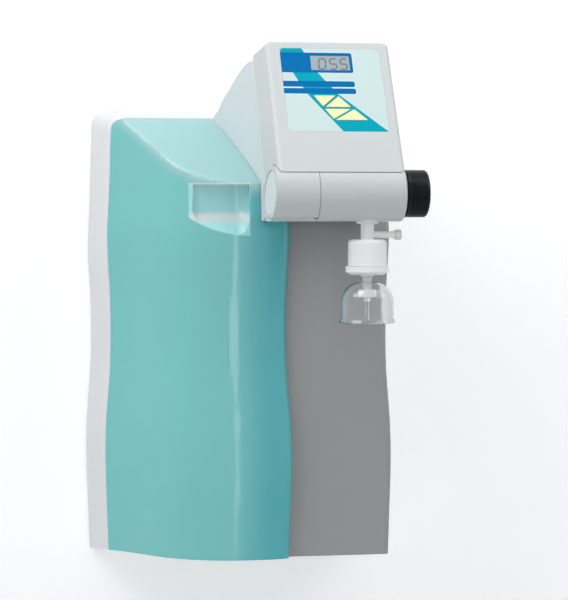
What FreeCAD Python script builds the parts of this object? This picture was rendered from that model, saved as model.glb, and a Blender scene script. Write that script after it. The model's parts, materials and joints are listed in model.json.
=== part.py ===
import FreeCAD, Part
import math
import os
from FreeCAD import Vector

# Wall-hung ultrapure water system.
# Millimetres. +Z is up and the front faces -Y. The written origin is the middle of the
# wall bracket's screws; inside this script heights start at the shell's lower edge,
# "fwd" is a distance forward of the wall and "x" is to the viewer's right.

# Driving sizes of the whole unit
shell_width = 305.0
shell_height = 485.0
shell_depth = 125.0
shell_wall = 3.5
hanger_height = 430.0

# Clearances and overruns
seat_gap = 0.3
part_gap = 0.6
running_gap = 0.05
overrun = 20.0

# Back shell
side_draft = 9.5
top_draft = 12.0
foot_draft = 16.0
corner_radius = 16.0
wave_depth = 2.8
wave_shares = [(0.0, 0.1), (0.14, -0.7), (0.29, -1.0), (0.38, 0.0), (0.46, 0.85), (0.54, 0.95),
               (0.62, 0.6), (0.69, -0.1), (0.8, 0.4), (0.9, 0.95), (1.0, 1.6)]

# Grey front panel on the right
panel_fwd = 204.0
panel_corner = 6.0
panel_wall = 3.0

# Translucent front cover on the left
cover_split = 35.8
cover_fwd = 221.0
cover_wall = 3.0
cover_corner = 9.0
cover_shoulder = 11.0
cover_top = 471.0
corner_drop_share = 0.035
cover_plan_shares = [(0.0, 0.0), (0.16, 0.3), (0.335, 0.69), (0.51, 0.9), (0.75, 1.0)]
facet_rise = 0.8
facet_break = 402.0
facet_round = 6.0
cover_head_room = 363.6
grip_left = -67.0
grip_right = -7.0
grip_low = 351.5
grip_knee = 372.0
grip_depth = 18.0
grip_round = 12.0
hose_slot_width = 22.0

# Head: its cylinder, and a face that leans back
axis_fwd = 334.0
axis_height = 391.7
barrel_radius = 27.3
barrel_wall = 3.0
barrel_left = -5.0
barrel_seam = 40.0
barrel_right = 126.0
head_lean = 31.4
cap_left = 0.5
cap_right = 125.0
cap_face_out = 27.0
cap_low = -4.0
cap_high = 162.0
cap_wall = 3.0
cap_corner = 7.0
cap_edge = 5.0
seam_out = -12.8
seam_flare = 6.0
seam_high = 176.5
flange_thickness = 12.0
flange_low = 14.0
flange_floor = 3.0
neck_wall = 3.0
neck_root_left = -37.0
neck_root_right = 141.0
neck_root_high = 470.0
neck_throat_left = 6.0
neck_throat_right = 123.5
neck_throat_fwd = 225.0
neck_top_step = 1.5
neck_duct_wall = 10.0
duct_height = 36.0
neck_side_shares = [(0.0, 0.0), (0.07, 0.07), (0.15, 0.175), (0.267, 0.351), (0.36, 0.4535), (0.462, 0.551),
                    (0.652, 0.749), (0.812, 0.884), (0.947, 0.977), (1.0, 1.0)]
neck_top_shares = [(0.0, 0.0), (0.08, 0.02), (0.13, 0.08), (0.18, 0.18), (0.25, 0.385), (0.31, 0.49), (0.39, 0.61),
                   (0.47, 0.73), (0.57, 0.87), (0.68, 0.98), (0.8, 1.01), (1.0, 1.0)]
seam_line = 0.5
flange_gap = 0.9
saddle_gap = 0.85
keel_gap = 0.8
disc_gap = 0.4

# Keypad in the head's face
keypad_left = 14.0
keypad_width = 101.5
keypad_low = 54.5
keypad_height = 99.0
keypad_corner = 4.0
keypad_thickness = 0.8
key_shares = [[(0.29, 0.425), (0.502, 0.425), (0.369, 0.297)], [(0.532, 0.417), (0.395, 0.29), (0.643, 0.29)],
              [(0.384, 0.266), (0.64, 0.266), (0.461, 0.149)], [(0.672, 0.263), (0.477, 0.136), (0.795, 0.136)]]
lcd_left = 44.0
lcd_low = 127.2
lcd_width = 39.5
lcd_height = 17.4
lcd_glass = 2.0
module_depth = 9.0
module_rim = 5.0
key_thickness = 1.5
key_proud = 0.4
key_travel = 0.4
key_clearance = 0.4
switch_side = 6.0
switch_button = 1.2
post_inset = 6.0
switch_board = 1.6

# Dispense knob, its valve and the outlet
knob_radius = 23.3
knob_length = 22.0
knob_edge = 3.0
knob_grooves = 9
knob_groove_depth = 0.35
knob_groove_share = 0.4
collar_radius = 21.6
collar_width = 1.6
spindle_radius = 4.0
spindle_flat = 1.0
end_lean = 3.3
end_toe = 4.75
disc_radius = 22.3
disc_inset = 0.8
disc_thickness = 3.0
keel_angle = 61.8
pry_width = 3.4
pry_depth = 2.4
barrel_edge = 2.4
valve_radius = 15.0
valve_left = 62.0
seal_width = 3.0
seal_radius = 6.5
outlet_x = 91.5
boss_radius = 11.2
boss_low = 362.0
boss_socket = 6.0
boss_edge = 1.5
bore_radius = 2.0

# Sterile filter, vent valve and bell under the outlet
spigot_radius = 6.5
capsule_radius = 19.0
capsule_high = 346.8
capsule_low = 320.6
capsule_shoulder = 4.0
capsule_wall = 1.5
pack_radius = 14.0
pleat_count = 18
pleat_share = 0.72
rim_radius = 21.3
rim_low = 315.0
rim_cone_low = 312.3
rim_cone_radius = 15.8
barb_radius = 6.6
barb_neck_radius = 4.0
barb_tooth_radius = 4.8
barb_step = 3.0
barb_low = 292.5
barb_teeth = 4
vent_rise = 4.6
vent_radius = 3.4
vent_reach = 27.5
vent_knob_radius = 5.2
vent_knob_width = 6.0
vent_wing = 1.2
vent_collar = 2.0
vent_stem = 8.0
vent_flutes = 8
vent_round_share = 0.25
bell_high = 305.5
bell_low = 265.5
bell_radius = 25.8
bell_flare = 1.9
bell_wall = 1.5
bell_shoulder = 20.0
bell_flare_height = 4.0
nozzle_radius = 9.0
nozzle_high = 298.3
nozzle_length = 8.8
nozzle_tip_radius = 3.6
nozzle_tip = 3.0
nozzle_edge = 1.5

# Wall bracket and the rail that hooks on it
bracket_width = 220.0
bracket_height = 50.0
bracket_sheet = 2.0
bracket_lip = 8.0
bracket_lip_height = 10.0
bracket_pitch_x = 180.0
bracket_pitch_z = 24.0
bracket_hole = 3.0
screw_head = 5.5
screw_head_height = 3.2
pocket_depth = 17.0
pocket_margin = 10.0
rail_width = 200.0
rail_hook = 9.5
rail_screw = 2.0
rail_screw_share = 0.4

# Inside
chassis_sheet = 2.0
chassis_margin = 2.0
chassis_flange = 12.0
rim_step = 6.0
boss_inset = 5.4
boss_rise = 8.2
boss_rod = 5.0
boss_bore = 12.0
rest_inset = 15.0
rest_width = 4.0
cable_radius = 8.0
tank_gap = 2.7
tank_right = 28.0
tank_low = 38.0
tank_corner = 12.0
tank_wall = 2.5
tank_back = 12.0
lid_inset = 44.0
tank_rib_shares = (0.2, 0.45, 0.7)
rib_radius = 3.0
probe_sleeve = 14.0
lid_radius = 24.0
lid_height = 11.0
lid_ribs = 24
rod_radius = 2.0
cartridge_share = 0.174
cartridge_step = 3.0
cartridge_low = 60.0
cartridge_head = 30.0
cartridge_room = 18.6
cartridge_stand = 10.7
cartridge_gap = 2.0
dome_share = 0.4
cap_grooves = 24
clip_thickness = 3.0
clip_height = 14.0
clip_mouth_share = 0.55
clip_shares = (0.2, 0.75)
side_clip_shares = (0.2, 0.85)
lamp_radius = 16.0
lamp_low = 120.0
lamp_room = 16.6
lamp_cap = 14.0
side_gap = 0.6
module_stand = 15.4
module_radius = 22.0
module_low = 110.0
module_room = 14.6
module_cap = 16.0
pump_gap = 5.0
pump_low = 35.0
pump_size = 50.0
pump_motor_radius = 23.0
pump_head = 40.0
pump_round = 6.0
pump_motor_length = 34.0
pump_fins = 4
spout_radius = 3.5
spout_length = 8.0
small_pump_radius = 15.0
small_pump_length = 44.0
supply_height = 110.0
supply_depth = 42.0
supply_gap = 14.0
supply_margin = 6.7
supply_low = 130.0
supply_slots = 7
slot_width = 4.0
slot_share = 0.2
board_height = 90.0
board_low = 260.0
spacer_length = 8.0
board_part_depth = 18.0
board_part_shares = [(0.1, 0.12, 0.2, 0.3, 1.0), (0.4, 0.15, 0.3, 0.2, 0.35), (0.12, 0.55, 0.16, 0.16, 0.8),
                     (0.36, 0.55, 0.16, 0.16, 0.8), (0.62, 0.5, 0.2, 0.36, 0.5)]
board_thickness = 1.6
post_radius = 3.0
valve_block = (20.0, 24.0, 28.0)
valve_block_inset = 42.0
valve_block_low = 24.0
coil_radius = 9.0

# Connections in the shell's floor
port_x = (-60.0, -30.0, 0.0)
port_fwd = 60.0
port_radius = 7.0
port_nut_radius = 10.0
port_low = 1.0
port_bore = 3.2
port_tail = 14.0
port_lip = 1.5
port_lock = 4.0
floor_stretch = 1.01
inlet_inset = 60.5
inlet_size = (27.0, 20.0)
inlet_fwd = 60.0
inlet_height = 26.0
inlet_rim = 3.0
inlet_lip = 2.0
pin_size = (2.0, 4.0)
pin_pitch = 7.0
pin_rise = 9.0
switch_pitch = 40.0
rocker_size = (12.0, 20.0)
rocker_height = 6.0
rocker_sink = 0.5
rocker_face = 4.0
rocker_dish_share = 0.1
rocker_angle = 8.0
axle_radius = 1.2

# Places that follow from the sizes
half_width = shell_width / 2
lean = math.radians(head_lean)
vent_height = capsule_high + vent_rise
pocket_low = hanger_height - bracket_height / 2 - pocket_margin
pocket_high = hanger_height + bracket_height / 2 + bracket_lip_height + pocket_margin
pocket_half = bracket_width / 2 + pocket_margin
shell_inside = half_width - side_draft - shell_wall - wave_depth
panel_inside = half_width - side_draft - panel_wall - wave_depth
inlet_x = half_width - inlet_inset
switch_x = inlet_x - switch_pitch
chassis_front = shell_depth - rim_step
chassis_back = chassis_front - chassis_sheet
chassis_half = shell_inside - wave_depth - chassis_margin
chassis_low = foot_draft + shell_wall + seat_gap
boss_x = chassis_half - boss_inset
boss_high = pocket_low - shell_wall - boss_rod - part_gap
boss_places = [(x, z) for x in (-boss_x, boss_x) for z in (chassis_low + boss_rise, boss_high)]
tank_left = tank_gap - shell_inside
tank_high = boss_high - boss_rod - part_gap
rest_places = (tank_left + rest_inset, tank_right - rest_inset)
lid_x = tank_left + lid_inset
valve_block_x = tank_left + valve_block_inset
cover_inside = cover_split - part_gap / 2 - wave_depth - cover_wall
cartridge_head_radius = (cover_inside + half_width - side_draft - wave_depth - cover_wall) * cartridge_share
cartridge_radius = cartridge_head_radius - cartridge_step
cartridge_fwd = chassis_front + seat_gap + cartridge_stand + cartridge_head_radius
cartridge_right_x = cover_inside - tank_gap - cartridge_head_radius
cartridge_x = (cartridge_right_x - 2 * cartridge_head_radius - cartridge_gap, cartridge_right_x)
cartridge_length = cover_head_room - cartridge_room - cartridge_head - cartridge_low
clip_reach = seat_gap + clip_thickness
module_x = panel_inside - side_gap - clip_reach - module_radius
lamp_x = module_x - module_radius - 2 * clip_reach - side_gap - lamp_radius
side_part_fwd = chassis_front + seat_gap + module_stand + clip_reach + module_radius
module_length = cover_head_room - panel_wall - module_room - module_cap - module_low
lamp_length = cover_head_room - panel_wall - lamp_room - lamp_cap - lamp_low
pump_x = cover_split + wave_depth + panel_wall + pump_gap + pump_size / 2
small_pump_x = panel_inside - side_gap - small_pump_radius
supply_left = tank_right + supply_gap
supply_width = shell_inside - supply_margin - supply_left
board_posts = [(u, v) for u in (keypad_left + post_inset, keypad_left + keypad_width - post_inset)
               for v in (keypad_low + post_inset, keypad_low + keypad_height - post_inset)]


def at(x, fwd, z):
    return Vector(x, -fwd, z)


def block(x0, x1, f0, f1, z0, z1):
    return Part.makeBox(x1 - x0, f1 - f0, z1 - z0, at(x0, f1, z0))


def rod_x(x0, x1, fwd, z, radius):
    return Part.makeCylinder(radius, x1 - x0, at(x0, fwd, z), Vector(1, 0, 0))


def rod_fwd(x, f0, f1, z, radius):
    return Part.makeCylinder(radius, f1 - f0, at(x, f0, z), Vector(0, -1, 0))


def rod_up(x, fwd, z0, z1, radius):
    return Part.makeCylinder(radius, z1 - z0, at(x, fwd, z0), Vector(0, 0, 1))


def extrude(points, direction):
    return Part.Face(Part.makePolygon(points + points[:1])).extrude(direction)


def turned(profile, x, fwd, arcs=()):
    # A profile of (radius, height) points turned about an upright axis.
    edges = []
    points = [at(x + r, fwd, z) for r, z in profile]
    for index, start in enumerate(points):
        end = points[(index + 1) % len(points)]
        if index in arcs:
            middle = at(x + arcs[index][0], fwd, arcs[index][1])
            edges.append(Part.Arc(start, middle, end).toShape())
        elif start.distanceToPoint(end) > 0:
            edges.append(Part.LineSegment(start, end).toShape())
    face = Part.Face(Part.Wire(edges))
    return face.revolve(at(x, fwd, 0), Vector(0, 0, 1), 360)


def fused(shapes):
    whole = shapes[0]
    for shape in shapes[1:]:
        whole = whole.fuse(shape)
    return whole.removeSplitter()


# Head frame: u runs across, v up the leaning face and w out of it, from the barrel's axis.
def head_at(u, v, w):
    fwd = axis_fwd + w * math.cos(lean) - v * math.sin(lean)
    z = axis_height + w * math.sin(lean) + v * math.cos(lean)
    return at(u, fwd, z)


head_up = head_at(0, 1, 0) - head_at(0, 0, 0)
head_out = head_at(0, 0, 1) - head_at(0, 0, 0)


def head_rect(u0, u1, v0, v1, w, radius):
    # A closed outline with rounded corners, parallel to the leaning face.
    inset = radius * (1 - math.cos(math.pi / 4))
    corners = [(u0, v0, 1, 1), (u1, v0, -1, 1), (u1, v1, -1, -1), (u0, v1, 1, -1)]
    stops = []
    for index, (u, v, du, dv) in enumerate(corners):
        across = head_at(u + du * radius, v, w)
        upright = head_at(u, v + dv * radius, w)
        middle = head_at(u + du * inset, v + dv * inset, w)
        first, last = (upright, across) if index % 2 == 0 else (across, upright)
        stops.append((first, middle, last))
    edges = []
    for index, (first, middle, last) in enumerate(stops):
        following = stops[(index + 1) % len(stops)][0]
        edges.append(Part.Arc(first, middle, last).toShape())
        edges.append(Part.LineSegment(last, following).toShape())
    return Part.Wire(edges)


def head_slab(u0, u1, v0, v1, w0, w1, radius):
    face = Part.Face(head_rect(u0, u1, v0, v1, w0, radius))
    return face.extrude(head_out * (w1 - w0))


def head_box(u0, u1, v0, v1, w0, w1):
    points = [head_at(u0, v0, w0), head_at(u1, v0, w0), head_at(u1, v1, w0), head_at(u0, v1, w0)]
    return extrude(points, head_out * (w1 - w0))


# The gentle wave that all upright edges share
def wave(height):
    share = height / shell_height
    pairs = zip(wave_shares, wave_shares[1:])
    for (low, first), (high, second) in pairs:
        if share <= high:
            part = (share - low) / (high - low)
            return wave_depth * (first + (second - first) * part)
    return wave_depth * wave_shares[-1][1]


def side_points(x, sign, low, high):
    places = []
    for share, inset in wave_shares:
        height = low + (high - low) * share
        places.append((x - sign * wave_depth * inset, height))
    return places


def shell_outline(fwd, share, wall):
    # The shell's outline on one upright plane; share 0 is at the wall, 1 at the front rim.
    reach = half_width - side_draft * share - wall
    low = foot_draft * share + wall
    high = shell_height - top_draft * share - wall
    radius = corner_radius - wall
    right = side_points(reach, 1, low, high - radius)
    left = side_points(-reach, -1, low, high - radius)
    right_curve = Part.BSplineCurve()
    right_curve.interpolate([at(x, fwd, z) for x, z in right])
    left_curve = Part.BSplineCurve()
    left_curve.interpolate([at(x, fwd, z) for x, z in reversed(left)])
    bend = radius * (1 - math.cos(math.pi / 4))
    right_x = right[-1][0]
    left_x = left[-1][0]
    edges = [Part.LineSegment(at(left[0][0], fwd, low), at(right[0][0], fwd, low)).toShape(),
             right_curve.toShape(),
             Part.Arc(at(right_x, fwd, high - radius), at(right_x - bend, fwd, high - bend),
                      at(right_x - radius, fwd, high)).toShape(),
             Part.LineSegment(at(right_x - radius, fwd, high), at(left_x + radius, fwd, high)).toShape(),
             Part.Arc(at(left_x + radius, fwd, high), at(left_x + bend, fwd, high - bend),
                      at(left_x, fwd, high - radius)).toShape(),
             left_curve.toShape()]
    return Part.Wire(edges)


def shell_body(back, front, wall):
    first = shell_outline(back, back / shell_depth, wall)
    last = shell_outline(front, front / shell_depth, wall)
    return Part.makeLoft([first, last], True, True)


def back_shell():
    body = shell_body(0, shell_depth, 0)
    hollow = shell_body(shell_wall, shell_depth, shell_wall)
    lid = shell_outline(shell_depth, 1, shell_wall)
    body = body.cut(hollow)
    body = body.cut(Part.Face(lid).extrude(at(0, overrun, 0)))
    housing = block(-pocket_half - shell_wall, pocket_half + shell_wall, 0, pocket_depth + shell_wall,
                    pocket_low - shell_wall, pocket_high + shell_wall)
    body = body.fuse(housing)
    body = body.cut(block(-pocket_half, pocket_half, -overrun, pocket_depth, pocket_low, pocket_high))
    for x in rail_screw_places:
        body = body.cut(rod_fwd(x, 0, pocket_depth + overrun, rail_screw_height, rail_screw))
    for x, z in boss_places:
        boss = rod_fwd(x, shell_wall / 2, chassis_back, z, boss_rod)
        body = body.fuse(boss.cut(rod_fwd(x, chassis_back - boss_bore, chassis_back, z, rail_screw)))
    for x in rest_places:
        body = body.fuse(block(x - rest_width / 2, x + rest_width / 2, shell_wall / 2,
                               chassis_back - chassis_flange - part_gap, foot_draft, tank_low - seat_gap))
    floor_low = -overrun
    floor_high = foot_draft + overrun
    for x in port_x:
        body = body.cut(rod_up(x, port_fwd, floor_low, floor_high, port_radius + running_gap))
    body = body.cut(block(inlet_x - inlet_size[0] / 2 - part_gap, inlet_x + inlet_size[0] / 2 + part_gap,
                          inlet_fwd - inlet_size[1] / 2 - part_gap, inlet_fwd + inlet_size[1] / 2 + part_gap,
                          floor_low, floor_high))
    body = body.cut(block(switch_x - rocker_size[0] / 2 - part_gap - inlet_lip,
                          switch_x + rocker_size[0] / 2 + part_gap + inlet_lip,
                          inlet_fwd - rocker_size[1] / 2 - part_gap - inlet_lip,
                          inlet_fwd + rocker_size[1] / 2 + part_gap + inlet_lip, floor_low, floor_high))
    return body.removeSplitter()


# A body whose level sections follow the wave: each section is a closed wire.
def waved_loft(section, low, high):
    stations = [low]
    for share, _ in wave_shares:
        height = share * shell_height
        if low + wave_depth < height < high - wave_depth:
            stations.append(height)
    stations.append(high)
    return Part.makeLoft([section(z) for z in stations], True, False)


cover_left = -(half_width - side_draft)
cover_right = cover_split - part_gap / 2
panel_left = cover_split + part_gap / 2
panel_right = half_width - side_draft
front_back = shell_depth + seat_gap


def cover_section(z, wall, back):
    inset = wave(z) + wall
    left = cover_left + inset
    right = cover_right - inset
    front = cover_fwd - inset
    depth = front - front_back
    points = []
    for across_share, fwd_share in cover_plan_shares:
        points.append(at(left + (right - left - cover_corner) * across_share, front_back + depth * fwd_share, z))
    drop = depth * corner_drop_share
    points.append(at(right - cover_corner, front - drop, z))
    curve = Part.BSplineCurve()
    curve.interpolate(points)
    bend = cover_corner * (1 - math.cos(math.pi / 4))
    edges = [curve.toShape(),
             Part.Arc(at(right - cover_corner, front - drop, z), at(right - bend, front - drop - bend, z),
                      at(right, front - drop - cover_corner, z)).toShape(),
             Part.LineSegment(at(right, front - drop - cover_corner, z), at(right, back, z)).toShape(),
             Part.LineSegment(at(right, back, z), at(left, back, z)).toShape()]
    if back < front_back:
        edges.append(Part.LineSegment(at(left, back, z), at(left, front_back, z)).toShape())
    return Part.Wire(edges)


def cover_bulk(wall):
    low = foot_draft + wall
    high = cover_top - wall
    back = front_back - (overrun if wall else 0)
    shift = wall * math.hypot(1, facet_rise)
    body = waved_loft(lambda z: cover_section(z, wall, back), low, cover_top + overrun)
    far = cover_fwd + overrun
    facet_far = facet_break - facet_rise * (far - cover_fwd) - shift
    start = cover_fwd - (high + shift - facet_break) / facet_rise
    profile = [at(-shell_width, back, low - overrun), at(-shell_width, far, low - overrun),
               at(-shell_width, far, facet_far), at(-shell_width, start, high), at(-shell_width, back, high)]
    limit = extrude(profile, Vector(2 * shell_width, 0, 0))
    ridge = [edge for edge in limit.Edges
             if all(abs(v.Point.z - high) < seat_gap and abs(v.Point.y + start) < seat_gap for v in edge.Vertexes)]
    limit = limit.makeFillet(facet_round, ridge)
    side = cover_left + wave(cover_top - cover_shoulder) + wall
    radius = cover_shoulder - wall
    spare = block(side - overrun, side + radius, -overrun, far, high - radius, high + overrun)
    spare = spare.cut(rod_fwd(side + radius, -overrun, far, high - radius, radius))
    return body.common(limit).cut(spare)


def neck_side(root, throat, sign, shift):
    # Points of the neck's flared side in plan, from the shell to the throat.
    points = []
    for fwd_share, x_share in neck_side_shares:
        fwd = shell_depth + seat_gap + (neck_throat_fwd - shell_depth) * fwd_share
        points.append((root + (throat - root) * x_share + sign * shift, fwd))
    return points


def neck_notch(grow):
    # What the cover leaves free round the neck, grown by a clearance.
    points = neck_side(neck_root_left, neck_throat_left, -1, grow)
    curve = Part.BSplineCurve()
    low = cover_head_room - (grow - part_gap)
    curve.interpolate([at(x, fwd, low) for x, fwd in points])
    first, last = points[0], points[-1]
    far = cover_fwd + overrun + overrun
    right = cover_split + overrun
    back = shell_depth - overrun
    wire = Part.Wire([curve.toShape(),
                      Part.LineSegment(at(last[0], last[1], low), at(last[0], far, low)).toShape(),
                      Part.LineSegment(at(last[0], far, low), at(right, far, low)).toShape(),
                      Part.LineSegment(at(right, far, low), at(right, back, low)).toShape(),
                      Part.LineSegment(at(right, back, low), at(first[0], back, low)).toShape(),
                      Part.LineSegment(at(first[0], back, low), at(first[0], first[1], low)).toShape()])
    return Part.Face(wire).extrude(Vector(0, 0, shell_height))


def grip_tool(grow):
    # The scoop under the facet: a level brow, an upright back and a sloping floor.
    floor_fwd = cover_fwd - grip_depth - grow
    run = grip_depth
    drop = grip_knee - grip_low
    shift = grow * math.hypot(run, drop) / run
    far = cover_fwd + overrun
    knee = grip_knee - shift + grow * drop / run
    end = knee - (far - floor_fwd) * drop / run
    brow = facet_break + grow
    points = [at(grip_left - grow, far, brow), at(grip_left - grow, floor_fwd, brow),
              at(grip_left - grow, floor_fwd, knee), at(grip_left - grow, far, end)]
    tool = extrude(points, Vector(grip_right - grip_left + 2 * grow, 0, 0))
    bends = []
    for edge in tool.Edges:
        ends = [vertex.Point for vertex in edge.Vertexes]
        on_end = (all(abs(point.x - grip_left + grow) < seat_gap for point in ends)
                  or all(abs(point.x - grip_right - grow) < seat_gap for point in ends))
        on_floor = any(abs(point.y + floor_fwd) < seat_gap for point in ends)
        on_knee = all(abs(point.z - knee) < seat_gap for point in ends)
        level = all(abs(point.z - brow) < seat_gap for point in ends)
        if on_floor and not level and (on_end or on_knee):
            bends.append(edge)
    return tool.makeFillet(grip_round + grow, bends)


def front_cover():
    outer = cover_bulk(0)
    outer = outer.cut(grip_tool(0)).cut(neck_notch(part_gap))
    inner = cover_bulk(cover_wall)
    inner = inner.cut(grip_tool(cover_wall)).cut(neck_notch(part_gap + cover_wall))
    return outer.cut(inner)


def panel_section(z, wall, back):
    inset = wave(z) + wall
    left = panel_left - wave(z) + wall
    right = panel_right - inset
    front = panel_fwd - wall
    radius = panel_corner - wall / 2
    bend = radius * (1 - math.cos(math.pi / 4))
    return Part.Wire([
        Part.LineSegment(at(left, back, z), at(left, front, z)).toShape(),
        Part.LineSegment(at(left, front, z), at(right - radius, front, z)).toShape(),
        Part.Arc(at(right - radius, front, z), at(right - bend, front - bend, z),
                 at(right, front - radius, z)).toShape(),
        Part.LineSegment(at(right, front - radius, z), at(right, back, z)).toShape(),
        Part.LineSegment(at(right, back, z), at(left, back, z)).toShape()])


def front_panel():
    outer = waved_loft(lambda z: panel_section(z, 0, front_back), foot_draft, cover_top + overrun)
    outer = outer.cut(block(-shell_width, shell_width, 0, 2 * cover_fwd, cover_head_room, 2 * cover_top))
    inner = waved_loft(lambda z: panel_section(z, panel_wall, front_back - overrun),
                       foot_draft + panel_wall, cover_head_room - panel_wall)
    body = outer.cut(inner)
    hose_slot = block(outlet_x - hose_slot_width / 2, outlet_x + hose_slot_width / 2, shell_depth + panel_wall,
                      shell_depth + hose_slot_width, cover_head_room - overrun, cover_head_room + overrun)
    return body.cut(hose_slot)


neck_low = cover_head_room + part_gap
neck_out = seam_out - flange_thickness


def neck_housing():
    root_fwd = shell_depth + seat_gap
    tip = head_at(0, seam_high - neck_top_step, neck_out)
    foot = head_at(0, flange_low, neck_out)
    top = []
    for fwd_share, rise_share in neck_top_shares:
        top.append(at(-shell_width, root_fwd + (-tip.y - root_fwd) * fwd_share,
                      neck_root_high + (tip.z - neck_root_high) * rise_share))
    curve = Part.BSplineCurve()
    curve.interpolate(top)
    heel_fwd = cover_fwd + neck_wall
    corners = [at(-shell_width, -tip.y, tip.z), at(-shell_width, -foot.y, foot.z),
               at(-shell_width, heel_fwd, neck_low), at(-shell_width, root_fwd, neck_low),
               at(-shell_width, root_fwd, neck_root_high)]
    edges = [curve.toShape()]
    for first, last in zip(corners, corners[1:]):
        edges.append(Part.LineSegment(first, last).toShape())
    side = Part.Face(Part.Wire(edges)).extrude(Vector(2 * shell_width, 0, 0))
    left = neck_side(neck_root_left, neck_throat_left, -1, 0)
    right = neck_side(neck_root_right, neck_throat_right, 1, 0)
    far = axis_fwd
    left_curve = Part.BSplineCurve()
    left_curve.interpolate([at(x, fwd, neck_low) for x, fwd in left])
    right_curve = Part.BSplineCurve()
    right_curve.interpolate([at(x, fwd, neck_low) for x, fwd in reversed(right)])
    plan = Part.Wire([left_curve.toShape(),
                      Part.LineSegment(at(left[-1][0], left[-1][1], neck_low), at(left[-1][0], far, neck_low)).toShape(),
                      Part.LineSegment(at(left[-1][0], far, neck_low), at(right[-1][0], far, neck_low)).toShape(),
                      Part.LineSegment(at(right[-1][0], far, neck_low), at(right[-1][0], right[-1][1], neck_low)).toShape(),
                      right_curve.toShape(),
                      Part.LineSegment(at(right[0][0], right[0][1], neck_low), at(left[0][0], left[0][1], neck_low)).toShape()])
    body = side.common(Part.Face(plan).extrude(Vector(0, 0, shell_height)))
    duct = block(neck_throat_left + neck_duct_wall, neck_throat_right - neck_duct_wall, root_fwd + neck_wall,
                 cover_fwd - neck_wall, neck_low - overrun, neck_root_high - neck_duct_wall)
    return body.cut(duct)


# Head
def barrel_saddle():
    return rod_x(-shell_width, shell_width, axis_fwd, axis_height, barrel_radius + saddle_gap)


def key_triangle(share_points, grow):
    points = [(keypad_left + keypad_width * a, keypad_low + keypad_height * b) for a, b in share_points]
    centre_u = sum(p[0] for p in points) / len(points)
    centre_v = sum(p[1] for p in points) / len(points)
    sides = [math.dist(points[i], points[i - 1]) for i in range(len(points))]
    (u0, v0), (u1, v1), (u2, v2) = points
    area = abs((u1 - u0) * (v2 - v0) - (u2 - u0) * (v1 - v0)) / 2
    inner_radius = 2 * area / sum(sides)
    factor = 1 + grow / inner_radius
    return [(centre_u + (u - centre_u) * factor, centre_v + (v - centre_v) * factor) for u, v in points]


def key_prism(share_points, grow, w0, w1):
    points = [head_at(u, v, w0) for u, v in key_triangle(share_points, grow)]
    return extrude(points, head_out * (w1 - w0))


cavity_face = cap_face_out - cap_wall
board_out = cavity_face - module_depth - seat_gap


def head_cap():
    front = head_rect(cap_left, cap_right, cap_low, cap_high, cap_face_out, cap_corner)
    rear = head_rect(cap_left - seam_flare, cap_right + seam_flare, 0, seam_high, seam_out, cap_corner)
    body = Part.makeLoft([rear, front], True, True)
    rim = [edge for edge in body.Edges
           if abs((edge.CenterOfMass - head_at(0, 0, cap_face_out)).dot(head_out)) < seat_gap]
    body = body.makeFillet(cap_edge, rim)
    inner_low = barrel_radius + cap_wall + part_gap
    inner_front = head_rect(cap_left + cap_wall, cap_right - cap_wall, inner_low, cap_high - cap_wall,
                            cavity_face, cap_corner - cap_wall)
    inner_rear = head_rect(cap_left - seam_flare + cap_wall, cap_right + seam_flare - cap_wall, inner_low,
                           seam_high - cap_wall, seam_out - overrun, cap_corner - cap_wall)
    body = body.cut(Part.makeLoft([inner_rear, inner_front], True, True))
    body = body.cut(barrel_saddle())
    body = body.cut(head_slab(keypad_left, keypad_left + keypad_width, keypad_low, keypad_low + keypad_height,
                              cap_face_out - keypad_thickness, cap_face_out + overrun, keypad_corner))
    body = body.cut(head_box(lcd_left, lcd_left + lcd_width, lcd_low, lcd_low + lcd_height,
                             cavity_face - cap_wall, cap_face_out))
    for shares in key_shares:
        body = body.cut(key_prism(shares, key_clearance, cavity_face - cap_wall, cap_face_out))
    for u, v in board_posts:
        post = Part.makeCylinder(post_radius, cavity_face - board_out + seat_gap, head_at(u, v, board_out),
                                 head_out)
        body = body.fuse(post)
    return body.removeSplitter()


def head_flange():
    outer = head_slab(cap_left - seam_flare, cap_right + seam_flare, flange_low, seam_high, neck_out,
                      seam_out - flange_gap, cap_corner)
    inner = head_slab(cap_left - seam_flare + cap_wall, cap_right + seam_flare - cap_wall,
                      barrel_radius + cap_wall + part_gap, seam_high - cap_wall, neck_out + flange_floor,
                      seam_out + overrun, cap_corner - cap_wall)
    duct = head_box(neck_throat_left + neck_duct_wall, neck_throat_right - neck_duct_wall,
                    barrel_radius + neck_duct_wall, barrel_radius + neck_duct_wall + duct_height,
                    neck_out - overrun, seam_out)
    return outer.cut(inner).cut(duct).cut(barrel_saddle())


def keypad_membrane():
    gap = seat_gap / 2
    sheet = head_slab(keypad_left + gap, keypad_left + keypad_width - gap, keypad_low + gap,
                      keypad_low + keypad_height - gap, cap_face_out - keypad_thickness, cap_face_out,
                      keypad_corner)
    sheet = sheet.cut(head_box(lcd_left, lcd_left + lcd_width, lcd_low, lcd_low + lcd_height,
                               cavity_face, cap_face_out + overrun))
    for shares in key_shares:
        sheet = sheet.cut(key_prism(shares, key_clearance, cavity_face, cap_face_out + overrun))
    return sheet


def lcd_window():
    gap = seat_gap / 2
    return head_box(lcd_left + gap, lcd_left + lcd_width - gap, lcd_low + gap, lcd_low + lcd_height - gap,
                    cap_face_out - lcd_glass, cap_face_out - gap)


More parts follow.
